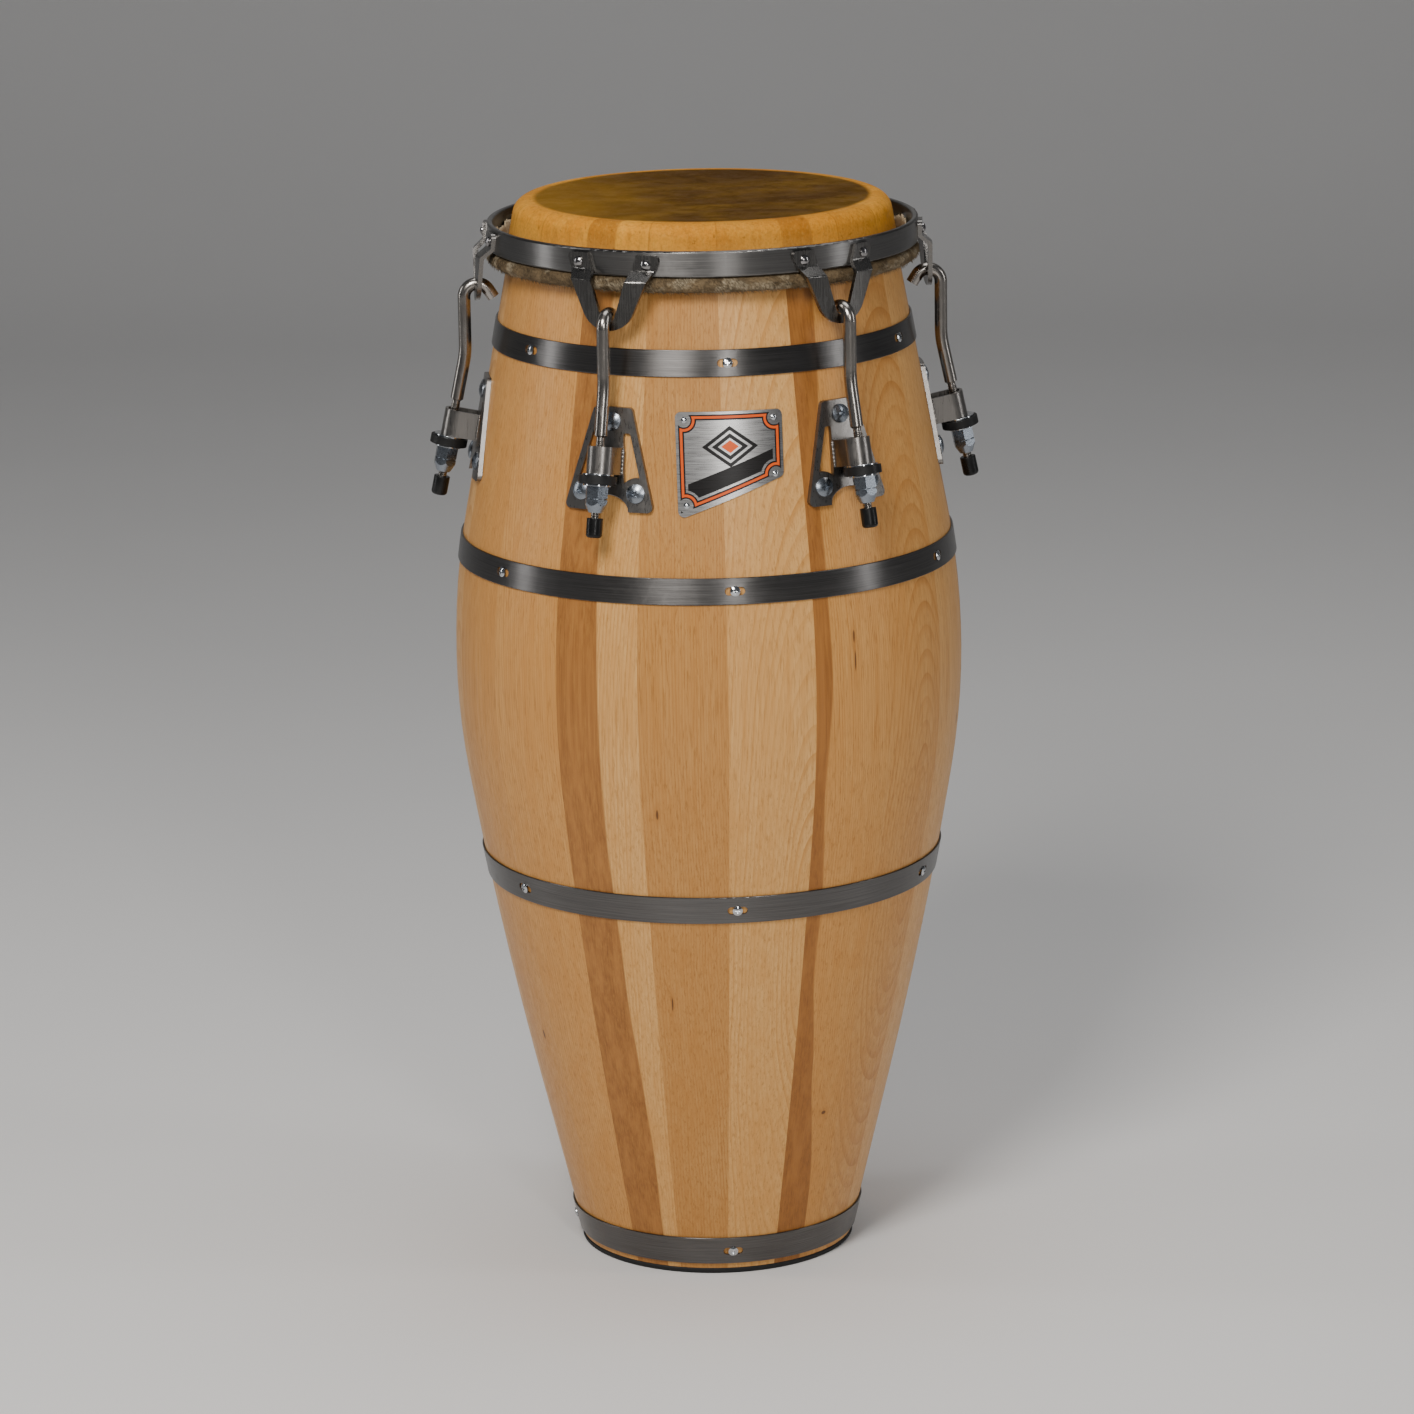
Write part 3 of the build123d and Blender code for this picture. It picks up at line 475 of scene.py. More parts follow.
def badge_paint():
    """Brushed plate: a pinstripe border stepping round its pins, a dark panel, nested diamonds."""
    material, tree, shader = new_material("badge_metal")
    place = object_place(tree)
    x, _, z = split_place(tree, place)
    half = badge_high.x
    slant = BADGE_RISE / (2 * half)
    low_line = calc(tree, "MULTIPLY_ADD", calc(tree, "ADD", x, half), slant, badge_low.z)
    from_low = calc(tree, "DIVIDE", calc(tree, "SUBTRACT", z, low_line), hypot(1, slant))
    from_side = calc(tree, "SUBTRACT", half, calc(tree, "ABSOLUTE", x))
    from_top = calc(tree, "SUBTRACT", badge_high.z, z)
    inset = calc(tree, "MINIMUM", calc(tree, "MINIMUM", from_low, from_side), from_top)
    for pin_x, pin_z in BADGE_PINS:
        side, above = calc(tree, "SUBTRACT", x, pin_x), calc(tree, "SUBTRACT", z, pin_z)
        from_pin = calc(tree, "SUBTRACT", radius_of(tree, side, above), PIN_CLEAR)
        inset = calc(tree, "MINIMUM", inset, from_pin)

    scratches = cloud(tree, stretched(tree, place, 60, 60, 5200), 1.0, 4.0, 0.7)
    steel = overlay(tree, BADGE_STEEL, BADGE_SHINE, scratches, 0.3, 0.7)
    outer, orange_start, orange_end, inner = BADGE_BORDER
    black = between(tree, inset, outer, inner)
    stripe = between(tree, inset, orange_start, orange_end)
    panel = between(tree, from_low, *FOOT_PANEL)
    panel = calc(tree, "MULTIPLY", panel, past(tree, inset, PANEL_INSET))
    middle_z = badge_low.z + DIAMOND_HEIGHT * (badge_high.z - badge_low.z)
    off_middle = calc(tree, "ABSOLUTE", calc(tree, "SUBTRACT", z, middle_z))
    reach = calc(tree, "MULTIPLY_ADD", calc(tree, "ABSOLUTE", x), DIAMOND_SLIMNESS, off_middle)
    line = past(tree, calc(tree, "PINGPONG", reach, DIAMOND_GAP), DIAMOND_LINE)
    diamond = calc(tree, "MULTIPLY", line, short_of(tree, reach, DIAMOND_REACH))
    core = short_of(tree, reach, DIAMOND_CORE)
    paint_mask = black
    for mask in (diamond, core, panel):
        paint_mask = calc(tree, "MAXIMUM", paint_mask, mask)
    colour = blend(tree, paint_mask, steel, INK)
    colour = blend(tree, calc(tree, "MAXIMUM", stripe, core), colour, ORANGE)
    feed(tree, shader.inputs["Base Color"], colour)
    feed(tree, shader.inputs["Metallic"], calc(tree, "SUBTRACT", 1.0, paint_mask, clamp=True))
    feed(tree, shader.inputs["Roughness"], spread(tree, scratches, 0.25, 0.75, 0.24, 0.38))
    shader.inputs["Specular IOR Level"].default_value = 0.2
    bump(tree, shader, calc(tree, "MULTIPLY_ADD", paint_mask, 1.5, scratches), 0.10, 0.00010)
    return material


# ---- Hide ----------------------------------------------------------------------------------------

BEARING_INNER = 0.1187  # radius where the wood under the hide begins
DARK_WOOD_UNDER_HIDE = ((18.0, 27.5), (-42.0, -33.0))  # azimuths where it starts and ends
HOLLOW_DARK = (0.060, 0.025, 0.0015)
HOLLOW_AMBER = (0.125, 0.060, 0.0040)
HOLLOW_SPINE = (0.185, 0.094, 0.007)
HOLLOW_MOTTLE = (0.045, 0.020, 0.0020)
HOLLOW_LIT = (0.300, 0.150, 0.010)
WOODED_DEEP = (0.60, 0.235, 0.018)
WOODED_PALE = (0.74, 0.345, 0.042)
WOODED_TAN = (0.46, 0.180, 0.018)
WOODED_HEART = (0.33, 0.115, 0.012)
WOODED_RINGS = (0.38, 0.140, 0.014)
WOODED_JOINT = (0.30, 0.105, 0.010)
WOODED_MOTTLE = (0.42, 0.175, 0.020)
WOODED_HAIRS = (0.78, 0.46, 0.11)
# painted shade on the collar's lower part
COLLAR_SHADE_TONE = (0.62, 0.38, 0.13)
HIDE_GRAIN = (0.10, 0.05, 0.012)
HIDE_FOLLICLES = (0.16, 0.060, 0.010)


def hide_paint():
    """Rawhide: dark over the hollow, honey over the wood, whose staves show faintly through it."""
    material, tree, shader = new_material("drum_hide")
    place = object_place(tree)
    x, y, z = split_place(tree, place)
    radius = radius_of(tree, x, y)
    turn = azimuth_of(tree, x, y)

    clouds = cloud(tree, place, 14.0, 4.0, 0.6, 0.7)
    mottle = cloud(tree, place, 62.0, 4.0, 0.65, 0.4)
    grain = cloud(tree, place, 520.0, 3.0, 0.6)
    hairs = cloud(tree, stretched(tree, place, 900, 260, 260), 1.0, 3.0, 0.7)
    spine = cloud(tree, stretched(tree, place, 8, 26, 10), 1.0, 3.0, 0.6, 0.5)

    hollow = overlay(tree, HOLLOW_DARK, HOLLOW_AMBER, clouds, 0.35, 0.68)
    hollow = overlay(tree, hollow, HOLLOW_SPINE, spine, 0.42, 0.70, 0.50)
    hollow = overlay(tree, hollow, HOLLOW_MOTTLE, mottle, 0.44, 0.68, 0.45)

    wooded = overlay(tree, WOODED_DEEP, WOODED_PALE, clouds, 0.35, 0.65)
    from_joint = calc(tree, "SUBTRACT", turn, FIRST_JOINT)
    step = calc(tree, "FLOOR", calc(tree, "DIVIDE", from_joint, STAVE_ANGLE))
    stave_tone = cloud(tree, combine(tree, step, 4.7, 0.3), 2.3, 1.0)
    wooded = overlay(tree, wooded, WOODED_TAN, stave_tone, 0.35, 0.65, 0.60)
    for start, end in DARK_WOOD_UNDER_HIDE:
        before_end = spread(tree, turn, end, end + 1.2, 1.0, 0.0)
        inside = calc(tree, "MULTIPLY", spread(tree, turn, start, start + 0.25), before_end)
        wooded = blend(tree, calc(tree, "MULTIPLY", inside, 0.75), wooded, WOODED_HEART)
    ring_turn, ring_radius = calc(tree, "MULTIPLY", turn, 0.42), calc(tree, "MULTIPLY", radius, 260)
    ring_place = combine(tree, ring_turn, ring_radius, step)
    end_rings = cloud(tree, ring_place, 1.0, 3.0, 0.65)
    wooded = overlay(tree, wooded, WOODED_RINGS, end_rings, 0.48, 0.66, 0.42)
    joint = calc(tree, "PINGPONG", from_joint, STAVE_ANGLE / 2)
    wooded = blend(tree, spread(tree, joint, 0.10, 0.35, 0.45, 0.0), wooded, WOODED_JOINT)
    wooded = overlay(tree, wooded, WOODED_MOTTLE, mottle, 0.45, 0.75, 0.25)
    wooded = overlay(tree, wooded, WOODED_HAIRS, hairs, 0.45, 0.75, 0.18)
    # painted shade: the collar is blended towards a duller tone, more so towards its lower end
    shade = spread(tree, z, head_low.z + 0.006, head_high.z - 0.004, 0.35, 0.0)
    wooded = blend(tree, shade, wooded, COLLAR_SHADE_TONE)

    # painted light: the hide over the hollow is painted lighter towards its left side, where the
    # light falls
    lit_side = calc(tree, "SUBTRACT", swing(tree, clouds, 0.06), x)
    hollow = overlay(tree, hollow, HOLLOW_LIT, lit_side, 0.0, 0.115, 0.55)
    edge = calc(tree, "ADD", swing(tree, mottle, 0.003), radius)
    over_wood = spread(tree, edge, BEARING_INNER - 0.0038, BEARING_INNER + 0.0016)
    colour = blend(tree, over_wood, hollow, wooded)
    colour = overlay(tree, colour, HIDE_GRAIN, grain, 0.35, 0.8, 0.30)
    follicles = cloud(tree, place, 240.0, 2.0, 0.5)
    colour = overlay(tree, colour, HIDE_FOLLICLES, follicles, 0.66, 0.74, 0.45)
    feed(tree, shader.inputs["Base Color"], colour)
    rough = calc(tree, "MULTIPLY_ADD", spread(tree, mottle, 0.3, 0.7), 0.14, 0.38)
    feed(tree, shader.inputs["Roughness"], rough)
    shader.inputs["Specular IOR Level"].default_value = 0.02
    shader.inputs["Subsurface Weight"].default_value = 0.06
    shader.inputs["Subsurface Radius"].default_value = (0.004, 0.002, 0.0008)
    shader.inputs["Subsurface Scale"].default_value = 0.6
    height = calc(tree, "MULTIPLY_ADD", hairs, 0.5, calc(tree, "MULTIPLY_ADD", mottle, 0.8, grain))
    bump(tree, shader, height, 0.35, 0.00035)
    return material


FUR_DARK = (0.044, 0.029, 0.014)
FUR_BROWN = (0.145, 0.100, 0.052)
FUR_STRANDS = (0.270, 0.195, 0.110)
FUR_PALE = (0.460, 0.390, 0.270)
FUR_SPECKLE = (0.035, 0.022, 0.011)
FUR_LIFTED = (0.36, 0.27, 0.17)


def fur_paint(name, lift):
    """Short animal hair: brown in patches, streaked paler where rubbed, and all lifted in tone."""
    material, tree, shader = new_material(name)
    place = object_place(tree)
    x, y, z = split_place(tree, place)
    turn = azimuth_of(tree, x, y)
    low = calc(tree, "MULTIPLY", z, 60)
    patch_place = combine(tree, calc(tree, "MULTIPLY", turn, 0.13), low, 0.0)
    patches = cloud(tree, patch_place, 1.3, 3.0, 0.6, 0.5)
    white_place = combine(tree, calc(tree, "MULTIPLY", turn, 0.10), low, 7.0)
    white = cloud(tree, white_place, 1.4, 3.0, 0.6)
    lean = calc(tree, "MULTIPLY", calc(tree, "MULTIPLY_ADD", z, 330, turn), 3.6)
    strands = cloud(tree, combine(tree, lean, calc(tree, "MULTIPLY", z, 330), 0.0), 1.0, 3.0, 0.7)
    speckle = cloud(tree, place, 700.0, 3.0, 0.7)
    pale_strands = spread(tree, strands, 0.36, 0.60)
    pale = calc(tree, "MULTIPLY", spread(tree, white, 0.50, 0.62), pale_strands)
    colour = overlay(tree, FUR_DARK, FUR_BROWN, patches, 0.36, 0.64)
    colour = overlay(tree, colour, FUR_STRANDS, strands, 0.40, 0.68, 0.55)
    colour = blend(tree, calc(tree, "MULTIPLY", pale, 0.60), colour, FUR_PALE)
    colour = overlay(tree, colour, FUR_SPECKLE, speckle, 0.42, 0.68, 0.60)
    colour = blend(tree, lift, colour, FUR_LIFTED)
    feed(tree, shader.inputs["Base Color"], colour)
    feed(tree, shader.inputs["Roughness"], spread(tree, strands, 0.3, 0.7, 0.62, 0.85))
    shader.inputs["Specular IOR Level"].default_value = 0.15
    bump(tree, shader, calc(tree, "ADD", strands, speckle), 0.8, 0.0008)
    return material


FRAY_CREAM = (0.40, 0.31, 0.19)
FRAY_STAIN = (0.22, 0.14, 0.07)
FRAY_PALE = (0.58, 0.49, 0.35)


def frayed_paint():
    """Raw cut edge of the hide, cream with darker fibres."""
    material, tree, shader = new_material("frayed_hide")
    place = object_place(tree)
    fibres = cloud(tree, stretched(tree, place, 900, 900, 160), 1.0, 4.0, 0.7)
    stains = cloud(tree, place, 70.0, 3.0, 0.6)
    colour = overlay(tree, FRAY_CREAM, FRAY_STAIN, stains, 0.4, 0.7)
    colour = overlay(tree, colour, FRAY_PALE, fibres, 0.4, 0.7, 0.5)
    feed(tree, shader.inputs["Base Color"], colour)
    feed(tree, shader.inputs["Roughness"], spread(tree, fibres, 0.3, 0.7, 0.7, 0.9))
    bump(tree, shader, fibres, 0.8, 0.0006)
    return material


# ---- Meshes --------------------------------------------------------------------------------------


def ring_point(azimuth, radius, height):
    """A point at an azimuth in degrees."""
    a = radians(azimuth)
    return Vector((radius * sin(a), -radius * cos(a), height))


def mesh_object(name, vertices, faces, material, smooth=True):
    """A mesh piece with its normals facing out."""
    mesh = bpy.data.meshes.new(name)
    mesh.from_pydata([tuple(v) for v in vertices], [], faces)
    shape = bmesh.new()
    shape.from_mesh(mesh)
    bmesh.ops.recalc_face_normals(shape, faces=shape.faces)
    for face in shape.faces:
        face.smooth = smooth
    shape.to_mesh(mesh)
    shape.free()
    mesh.materials.append(material)
    piece = bpy.data.objects.new(name, mesh)
    bpy.context.scene.collection.objects.link(piece)
    return piece


def loop_faces(rows, columns, close_rows=True):
    """Quads of a grid that closes round its columns, and round its rows as well if asked."""
    faces = []
    for row in range(rows if close_rows else rows - 1):
        here, above = row * columns, (row + 1) % rows * columns
        for column in range(columns):
            beside = (column + 1) % columns
            faces.append((here + column, here + beside, above + beside, above + column))
    return faces


HEAD_SEGMENTS = 288
NECK_LEAN = radians(10.5)
HIDE = 0.001548  # thickness
BEARING_ROUND = 0.0113
FLAT_STEPS, ROUND_STEPS, COLLAR_STEPS = 22, 12, 14
COLLAR_PLEATS = 0.022  # the collar's height that is pleated
COLLAR_FLARE = 0.0016


def head_profile():
    """Outside of the hide as (radius, height), from near the middle to the collar's end."""
    corner = head_high.x - (head_high.z - head_low.z) * tan(NECK_LEAN)
    reach = BEARING_ROUND * tan((pi / 2 - NECK_LEAN) / 2)
    flat_end = corner - reach
    points = [(flat_end * n / FLAT_STEPS, head_high.z) for n in range(1, FLAT_STEPS + 1)]
    for n in range(1, ROUND_STEPS + 1):
        turn = (pi / 2 - NECK_LEAN) * n / ROUND_STEPS
        height = head_high.z - BEARING_ROUND * (1 - cos(turn))
        points.append((flat_end + BEARING_ROUND * sin(turn), height))
    last_radius, last_height = points[-1]
    half = COLLAR_STEPS // 2
    for n in range(1, COLLAR_STEPS + 1):
        height = last_height + (head_low.z - last_height) * n / COLLAR_STEPS
        flare = COLLAR_FLARE * max(0.0, (n - half) / half) ** 2
        points.append((last_radius + (last_height - height) * tan(NECK_LEAN) + flare, height))
    return points


def inner_point(radius, height):
    """The point of the hide's inner face that lies behind one of its outside."""
    behind = height < head_high.z - 0.001
    under = height >= head_high.z - BEARING_ROUND * 0.8
    return radius - HIDE if behind else radius, height - HIDE if under else height


def make_head(material):
    """The stretched hide as one closed sheet, uneven on its outside as real skin is."""
    outside = head_profile()
    inside = [inner_point(radius, height) for radius, height in reversed(outside)]
    vertices = []
    for row, (radius, height) in enumerate(outside + inside):
        over_hollow = radius < BEARING_INNER and height > head_high.z - 0.004
        low = max(0.0, (head_low.z + COLLAR_PLEATS - height) / COLLAR_PLEATS)
        for n in range(HEAD_SEGMENTS):
            azimuth = 360 * n / HEAD_SEGMENTS
            here = ring_point(azimuth, radius, height)
            if row < len(outside):
                swell = noise.noise(here * 28) * 0.00022 + noise.noise(here * 95) * 0.00010
                pleat = low * 0.00035 * noise.noise(Vector((azimuth * 0.35, height * 30, 2.0)))
                if over_hollow:
                    here.z -= abs(swell)
                else:
                    here += Vector((here.x, here.y, 0)).normalized() * (swell * 0.6 + pleat)
            vertices.append(here)
    rows = len(outside) + len(inside)
    faces = loop_faces(rows, HEAD_SEGMENTS, close_rows=False)
    top_middle, under_middle = len(vertices), len(vertices) + 1
    vertices += [Vector((0, 0, head_high.z)), Vector((0, 0, head_high.z - HIDE))]
    last = (rows - 1) * HEAD_SEGMENTS
    for n in range(HEAD_SEGMENTS):
        m = (n + 1) % HEAD_SEGMENTS
        faces.append((top_middle, n, m))
        faces.append((under_middle, last + m, last + n))
    return mesh_object("drum_hide", vertices, faces, material)


ROLL = 0.0057  # radius of the roll's own thickness
ROLL_SIDES, ROLL_SEGMENTS = 22, 360
roll_radius = roll_high.x - ROLL
roll_height = roll_low.z + ROLL


def make_roll(material):
    """The hide's hairy edge, wrapped round the flesh hoop."""
    vertices = []
    for row in range(ROLL_SIDES):
        turn = 2 * pi * row / ROLL_SIDES
        for n in range(ROLL_SEGMENTS):
            azimuth = 360 * n / ROLL_SEGMENTS
            spot = Vector((cos(radians(azimuth)) * 9, sin(radians(azimuth)) * 9, turn * 0.8))
            lumps = noise.noise(spot) * 0.00030 + noise.noise(spot * 4.3) * 0.00022
            size = ROLL - 0.00045 + (lumps + noise.noise(spot * 11) * 0.00012)
            radius, height = roll_radius + size * cos(turn), roll_height + size * sin(turn)
            vertices.append(ring_point(azimuth, radius, height))
    return mesh_object("hide_roll", vertices, loop_faces(ROLL_SIDES, ROLL_SEGMENTS), material)


FRAY_SEGMENTS = 720
FRAY_SHARES = (0.0, 0.35, 0.7, 1.0)  # rows from the roll to the cut
FRAY_THICKNESS = 0.0013
FRAY_FIBRES = 1500


def cut_height(azimuth):
    """Height of the hide's ragged cut."""
    a = radians(azimuth)
    spot = Vector((cos(a) * 6, sin(a) * 6, 0.7))
    ragged = 0.5 + 0.5 * noise.noise(spot) + 0.35 * noise.noise(spot * 3.1)
    ragged += 0.30 * noise.noise(spot * 13)
    return rim_bottom + 0.0035 + 0.0095 * min(1.0, max(0.05, ragged))


def make_frayed_edge(material):
    """The trimmed end of the hide, standing up between the collar and the rim."""
    azimuths = [360 * n / FRAY_SEGMENTS for n in range(FRAY_SEGMENTS)]
    heights = [cut_height(azimuth) for azimuth in azimuths]
    base = roll_height + ROLL * 0.75
    rows = [(share, 0.0) for share in FRAY_SHARES]
    rows += [(share, FRAY_THICKNESS * (1.0 - 0.45 * share)) for share in reversed(FRAY_SHARES)]
    vertices = []
    for share, thickness in rows:
        for azimuth, height in zip(azimuths, heights):
            wave = 0.0009 * noise.noise(Vector((azimuth * 0.30, share * 1.4, 5.0)))
            radius = roll_radius - 0.0032 + 0.0016 * share + wave + thickness
            vertices.append(ring_point(azimuth, radius, base + (height - base) * share))
    return mesh_object("frayed_edge", vertices, loop_faces(len(rows), FRAY_SEGMENTS), material)


def spike(vertices, faces, root, tip, width):
    """Adds a closed three-sided hair from root to tip."""
    along = (tip - root).normalized()
    side = along.orthogonal().normalized() * width
    across = along.cross(side)
    start = len(vertices)
    middle = root.lerp(tip, 0.5) + Vector((0, 0, -0.08 * (tip - root).length))
    for centre, size in ((root, 1.0), (middle, 0.75)):
        for turn in (0, 2 * pi / 3, 4 * pi / 3):
            vertices.append(centre + (side * cos(turn) + across * sin(turn)) * size)
    vertices.append(tip)
    faces.append((start, start + 2, start + 1))
    for n in range(3):
        m = (n + 1) % 3
        faces.append((start + n, start + m, start + 3 + m, start + 3 + n))
        faces.append((start + 3 + n, start + 3 + m, start + 6))


HAIRS = 7000


def make_fur(material):
    """Short hairs lying over the roll, most of them leaning one way round and downwards."""
    draw = random.Random(7)
    vertices, faces = [], []
    for _ in range(HAIRS):
        azimuth = draw.uniform(0, 360)
        turn = draw.uniform(-0.80 * pi, 0.42 * pi)
        size = ROLL - 0.0004
        root = ring_point(azimuth, roll_radius + size * cos(turn), roll_height + size * sin(turn))
        outward = (root - ring_point(azimuth, roll_radius, roll_height)).normalized()
        along = ring_point(azimuth + 90, 1.0, 0.0)
        length = draw.uniform(0.0014, 0.0034)
        lean = along * draw.uniform(0.4, 1.0) + Vector((0, 0, draw.uniform(-0.9, 0.2)))
        lean += outward * draw.uniform(0.10, 0.45)
        tip = root + lean.normalized() * length
        spike(vertices, faces, root - outward * 0.0002, tip, draw.uniform(0.00010, 0.00018))
    return mesh_object("roll_hair", vertices, faces, material)


def make_fray_fibres(material):
    """Loose fibres along the hide's cut edge."""
    draw = random.Random(11)
    vertices, faces = [], []
    for _ in range(FRAY_FIBRES):
        azimuth = draw.uniform(0, 360)
        root = ring_point(azimuth, roll_radius - 0.0012, cut_height(azimuth) - 0.0012)
        lean = Vector((draw.uniform(-1, 1), draw.uniform(-1, 1), draw.uniform(0.2, 1.6)))
        tip = root + lean.normalized() * draw.uniform(0.0012, 0.0034)
        spike(vertices, faces, root, tip, draw.uniform(0.00007, 0.00013))
    return mesh_object("frayed_fibres", vertices, faces, material)


# ---- Hook threads and welds ----------------------------------------------------------------------

AXIS_RADIUS = 0.1787  # middle of each socket
AXIS_HEIGHT = 0.6072
PITCH = 0.00127
THREAD_ROOT = 0.00278
THREAD_CREST = 0.003175
THREAD_SPAN = (-0.0140, 0.0396)  # down the shank from the middle of the socket
TURN_STEPS = 24


def shank_frame(azimuth):
    """Middle of a lug's socket, the way down its shank, and two directions across it."""
    down = ring_point(azimuth, sin(LEAN), -cos(LEAN))
    across = ring_point(azimuth + 90, 1.0, 0.0)
    return ring_point(azimuth, AXIS_RADIUS, AXIS_HEIGHT), down, across, down.cross(across)


def make_thread(number, azimuth, material):
    """The helical thread on a hook's lower end."""
    middle, down, across, other = shank_frame(azimuth)
    start, end = THREAD_SPAN
    steps = int((end - start) / PITCH * TURN_STEPS)
    sunk = THREAD_ROOT - 0.0001
    vertices, faces = [], []
    for n in range(steps + 1):
        turn = 2 * pi * n / TURN_STEPS
        out = across * cos(turn) + other * sin(turn)
        centre = middle + down * (start + (end - start) * n / steps)
        fade = min(1.0, n / TURN_STEPS, (steps - n) / TURN_STEPS)
        crest = THREAD_ROOT + (THREAD_CREST - THREAD_ROOT) * fade
        for radius, along in ((sunk, -0.42), (crest, -0.08), (crest, 0.08), (sunk, 0.42)):
            vertices.append(centre + out * radius + down * PITCH * along)
    for n in range(steps):
        a, b = 4 * n, 4 * n + 4
        for k in range(4):
            m = (k + 1) % 4
            faces.append((a + k, a + m, b + m, b + k))
    faces.append((0, 1, 2, 3))
    faces.append((4 * steps, 4 * steps + 1, 4 * steps + 2, 4 * steps + 3))
    return mesh_object(f"hook_thread_{number}", vertices, faces, material, smooth=False)


SOCKET_HALF_WIDTH = 0.0096
SOCKET_HALF_LENGTH = 0.00925
WELD_STEPS = 28
WELD_SIDES = 10
WELD = 0.00105  # radius of a bead
WELD_MIDDLE = AXIS_HEIGHT - 0.0038

plate_points = [vertex.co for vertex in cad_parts["lug_brackets"].data.vertices]
PLATE_LOW_RADIUS = max(hypot(p.x, p.y) for p in plate_points if p.z < bracket_low.z + 0.002)
PLATE_HIGH_RADIUS = max(hypot(p.x, p.y) for p in plate_points if p.z > bracket_high.z - 0.002)


def plate_radius(height):
    """Radius of the lug plates' outside, which runs straight from their lower end to the upper."""
    share = (height - bracket_low.z) / (bracket_high.z - bracket_low.z)
    return PLATE_LOW_RADIUS + (PLATE_HIGH_RADIUS - PLATE_LOW_RADIUS) * share


def make_welds(material):
    """Beads that join each socket to its plate."""
    draw = random.Random(5)
    width = SOCKET_HALF_WIDTH + 0.0002
    vertices, faces = [], []
    for azimuth in LUG_AZIMUTHS:
        across = ring_point(azimuth + 90, 1.0, 0.0)
        out = ring_point(azimuth, 1.0, 0.0)
        for side in (-1, 1):
            start = len(vertices)
            for n in range(WELD_STEPS + 1):
                height = WELD_MIDDLE + (0.5 - n / WELD_STEPS) * 2 * SOCKET_HALF_LENGTH * cos(LEAN)
                radius = (plate_radius(height) ** 2 - width**2) ** 0.5 + 0.0001
                centre = ring_point(azimuth, radius, height) + across * side * width
                ripple = 0.00016 * sin(n * 1.5) + draw.uniform(-0.00008, 0.00008)
                size = (WELD + ripple) * min(1.0, (n + 1) / 3, (WELD_STEPS + 1 - n) / 3)
                for k in range(WELD_SIDES):
                    turn = 2 * pi * k / WELD_SIDES
                    vertices.append(centre + (across * cos(turn) + out * sin(turn)) * size)
            for n in range(WELD_STEPS):
                for k in range(WELD_SIDES):
                    m = (k + 1) % WELD_SIDES
                    a = start + n * WELD_SIDES
                    faces.append((a + k, a + m, a + WELD_SIDES + m, a + WELD_SIDES + k))
            end = start + WELD_STEPS * WELD_SIDES
            faces.append(tuple(range(start, start + WELD_SIDES)))
            faces.append(tuple(range(end, end + WELD_SIDES)))
    return mesh_object("socket_welds", vertices, faces, material)


# ---- Materials on the CAD nodes ------------------------------------------------------------------


def paint(node, material):
    """Gives a CAD node one material."""
    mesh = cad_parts[node].data
    mesh.materials.clear()
    mesh.materials.append(material)


for number, look in enumerate(STAVE_LOOKS):
    paint(f"stave_{number + 1:02d}", wood(number, look))

# colour, roughness, way of the scratches, their strength, wear and coarseness
METALS = {
    "band_steel": ((0.125, 0.120, 0.117), 0.32, "round", 0.24, 0.12),
    "rim_steel": ((0.17, 0.165, 0.16), 0.31, "round", 0.22, 0.15),
    "ear_steel": ((0.175, 0.168, 0.160), 0.25, "up", 0.06, 0.05, 0.5),
    "bracket_steel": ((0.25, 0.235, 0.22), 0.29, "up", 0.05, 0.05, 0.5),
    "hook_steel": ((0.33, 0.305, 0.28), 0.22, "up", 0.05, 0.08, 0.4),
    "bright_zinc": ((0.25, 0.275, 0.31), 0.27, "every", 0.06, 0.10),
    "chrome": ((0.52, 0.54, 0.56), 0.12, "every", 0.08, 0.15),
    "rivet_steel": ((0.27, 0.26, 0.26), 0.14, "every", 0.12, 0.2),
    "hoop_steel": ((0.45, 0.45, 0.45), 0.35, "round", 0.2, 0.3),
}
metal = {name: brushed_metal(name, *look) for name, look in METALS.items()}
NODE_PAINTS = {
    "top_band": metal["band_steel"],
    "upper_belly_band": metal["band_steel"],
    "lower_belly_band": metal["band_steel"],
    "foot_band": metal["band_steel"],
    "rim": metal["rim_steel"],
    "ears": metal["ear_steel"],
    "ear_rivets": metal["rivet_steel"],
    "flesh_hoop": metal["hoop_steel"],
    "lug_brackets": metal["bracket_steel"],
    "bracket_bolts": metal["bright_zinc"],
    "inner_washers": metal["bright_zinc"],
    "inner_nuts": metal["bright_zinc"],
    "band_screws": metal["chrome"],
    "badge_pins": metal["chrome"],
    "steel_washers": metal["chrome"],
    "badge_plate": badge_paint(),
    "base_ring": rubber("ring_rubber", (0.010, 0.010, 0.010), 0.60),
    "rubber_washers": rubber("washer_rubber", (0.006, 0.006, 0.006), 0.46),
}
for node, material in NODE_PAINTS.items():
    paint(node, material)
cap_rubber = rubber("cap_rubber", (0.004, 0.004, 0.004), 0.34)
for number in range(1, 7):
    paint(f"tuning_hook_{number}", metal["hook_steel"])
    paint(f"tuning_nut_{number}", metal["bright_zinc"])
    paint(f"hook_cap_{number}", cap_rubber)

# ---- Pieces --------------------------------------------------------------------------------------

hide = make_head(hide_paint())
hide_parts("drumhead")
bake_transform(hide)

roll = make_roll(fur_paint("roll_hide", 0.0))
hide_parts("skin_roll")
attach(roll, "crown")
cut_edge = frayed_paint()
for piece in (
    make_fur(fur_paint("roll_fur", 0.25)),
    make_frayed_edge(cut_edge),
    make_fray_fibres(cut_edge),
):
    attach(piece, "crown")

for number, azimuth in enumerate(LUG_AZIMUTHS, start=1):
    thread = make_thread(number, azimuth, metal["hook_steel"])
    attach(thread, f"hook_{number}")

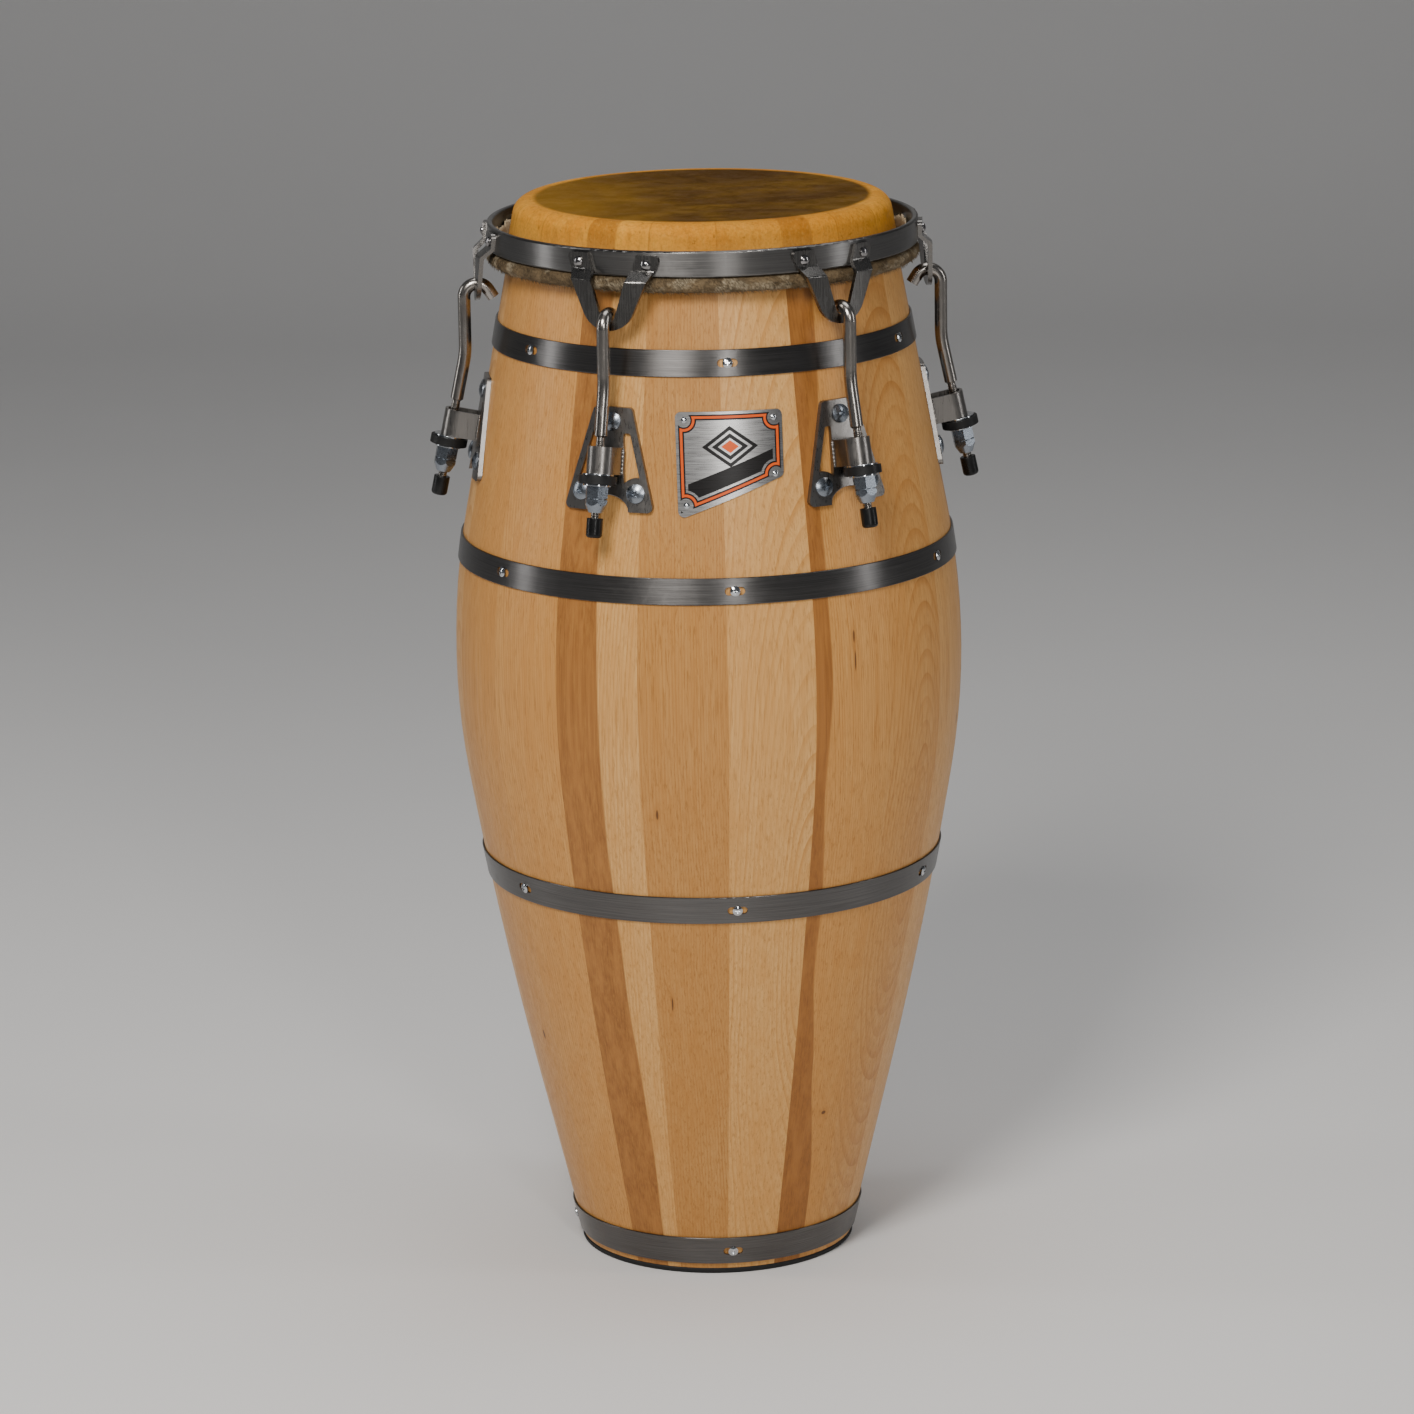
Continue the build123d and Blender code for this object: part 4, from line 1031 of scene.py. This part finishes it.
welds = make_welds(metal["bracket_steel"])
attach(welds, "shell")

# ---- Studio --------------------------------------------------------------------------------------

FLOOR_TONE = (0.82, 0.81, 0.80)
FLOOR_SHADE = (0.78, 0.77, 0.76)
FLOOR_HALF, FLOOR_BACK, FLOOR_HIGH, FLOOR_CURVE = 9.0, 3.6, 6.0, 1.6
FLOOR_STEPS = 16


def make_floor():
    """Pale floor that sweeps up behind the drum."""
    material, tree, shader = new_material("studio_floor")
    tone = spread(tree, cloud(tree, object_place(tree), 3.0, 2.0), 0.3, 0.7, 0.0, 0.2)
    feed(tree, shader.inputs["Base Color"], blend(tree, tone, FLOOR_TONE, FLOOR_SHADE))
    shader.inputs["Roughness"].default_value = 0.85
    turns = [pi / 2 * n / FLOOR_STEPS for n in range(FLOOR_STEPS + 1)]
    line = [(-FLOOR_HALF, 0.0)]
    for turn in turns:
        line.append((FLOOR_BACK + FLOOR_CURVE * sin(turn), FLOOR_CURVE * (1 - cos(turn))))
    line.append((FLOOR_BACK + FLOOR_CURVE, FLOOR_HIGH))
    vertices = [Vector((side * FLOOR_HALF, y, z)) for y, z in line for side in (-1, 1)]
    faces = [(2 * n, 2 * n + 1, 2 * n + 3, 2 * n + 2) for n in range(len(line) - 1)]
    mesh = bpy.data.meshes.new("floor")
    mesh.from_pydata([tuple(v) for v in vertices], [], faces)
    for face in mesh.polygons:
        face.use_smooth = True
    mesh.materials.append(material)
    floor = bpy.data.objects.new("floor", mesh)
    bpy.context.scene.collection.objects.link(floor)
    floor.matrix_world = Matrix.Rotation(CAMERA_YAW, 4, "Z")


def soft_light(name, place, target, size, power, tint=(1.0, 1.0, 1.0)):
    """Rectangular softbox aimed at a point."""
    light = bpy.data.lights.new(name, "AREA")
    light.shape = "RECTANGLE"
    light.size, light.size_y = size
    light.energy = power
    light.color = tint
    lamp = bpy.data.objects.new(name, light)
    lamp.location = place
    lamp.rotation_euler = (Vector(target) - Vector(place)).to_track_quat("-Z", "Y").to_euler()
    bpy.context.scene.collection.objects.link(lamp)


CAMERA_DISTANCE = 4.0468
CAMERA_HEIGHT = 1.3995
CAMERA_ASIDE = -0.002
CAMERA_YAW = radians(-6.0)
CAMERA_PITCH = radians(13.97)
CAMERA_ROLL = radians(-0.89)
LENS = 148.53


def make_camera():
    """Long lens, a little to the left of the badge and looking down."""
    camera = bpy.data.cameras.new("camera")
    camera.lens = LENS
    camera.sensor_width = 36.0
    eye = bpy.data.objects.new("camera", camera)
    turn = Matrix.Rotation(CAMERA_YAW, 4, "Z")
    tilt = Matrix.Rotation(pi / 2 - CAMERA_PITCH, 4, "X")
    roll_turn = Matrix.Rotation(CAMERA_ROLL, 4, "Z")
    place = turn @ Vector((CAMERA_ASIDE, -CAMERA_DISTANCE, CAMERA_HEIGHT))
    eye.matrix_world = Matrix.Translation(place) @ turn @ tilt @ roll_turn
    bpy.context.scene.collection.objects.link(eye)
    bpy.context.scene.camera = eye


make_floor()
DRUM_MIDDLE = (0.0, 0.0, 0.42)

# name, place, target, size, power and tint
LIGHTS = (
    ("key", (-0.8, -1.75, 2.1), (0.0, 0.0, 0.66), (0.7, 0.8), 50.0, (1.0, 0.97, 0.93)),
    ("front_strip", (0.30, -2.9, 1.45), (0.0, 0.0, 0.60), (0.36, 1.0), 18.0, (1.0, 0.98, 0.95)),
    ("side", (2.5, -0.9, 1.3), DRUM_MIDDLE, (0.35, 1.8), 11.0),
    ("left_edge", (-2.6, 0.3, 1.2), DRUM_MIDDLE, (0.35, 1.8), 11.0),
    ("top", (0.2, 0.2, 2.8), (0.0, 0.0, 0.7), (1.4, 1.4), 18.0),
)
for light in LIGHTS:
    soft_light(*light)

world = bpy.data.worlds.new("studio")
world.use_nodes = True
world.node_tree.nodes["Background"].inputs["Color"].default_value = (0.80, 0.83, 0.88, 1.0)
world.node_tree.nodes["Background"].inputs["Strength"].default_value = 0.12
bpy.context.scene.world = world
make_camera()
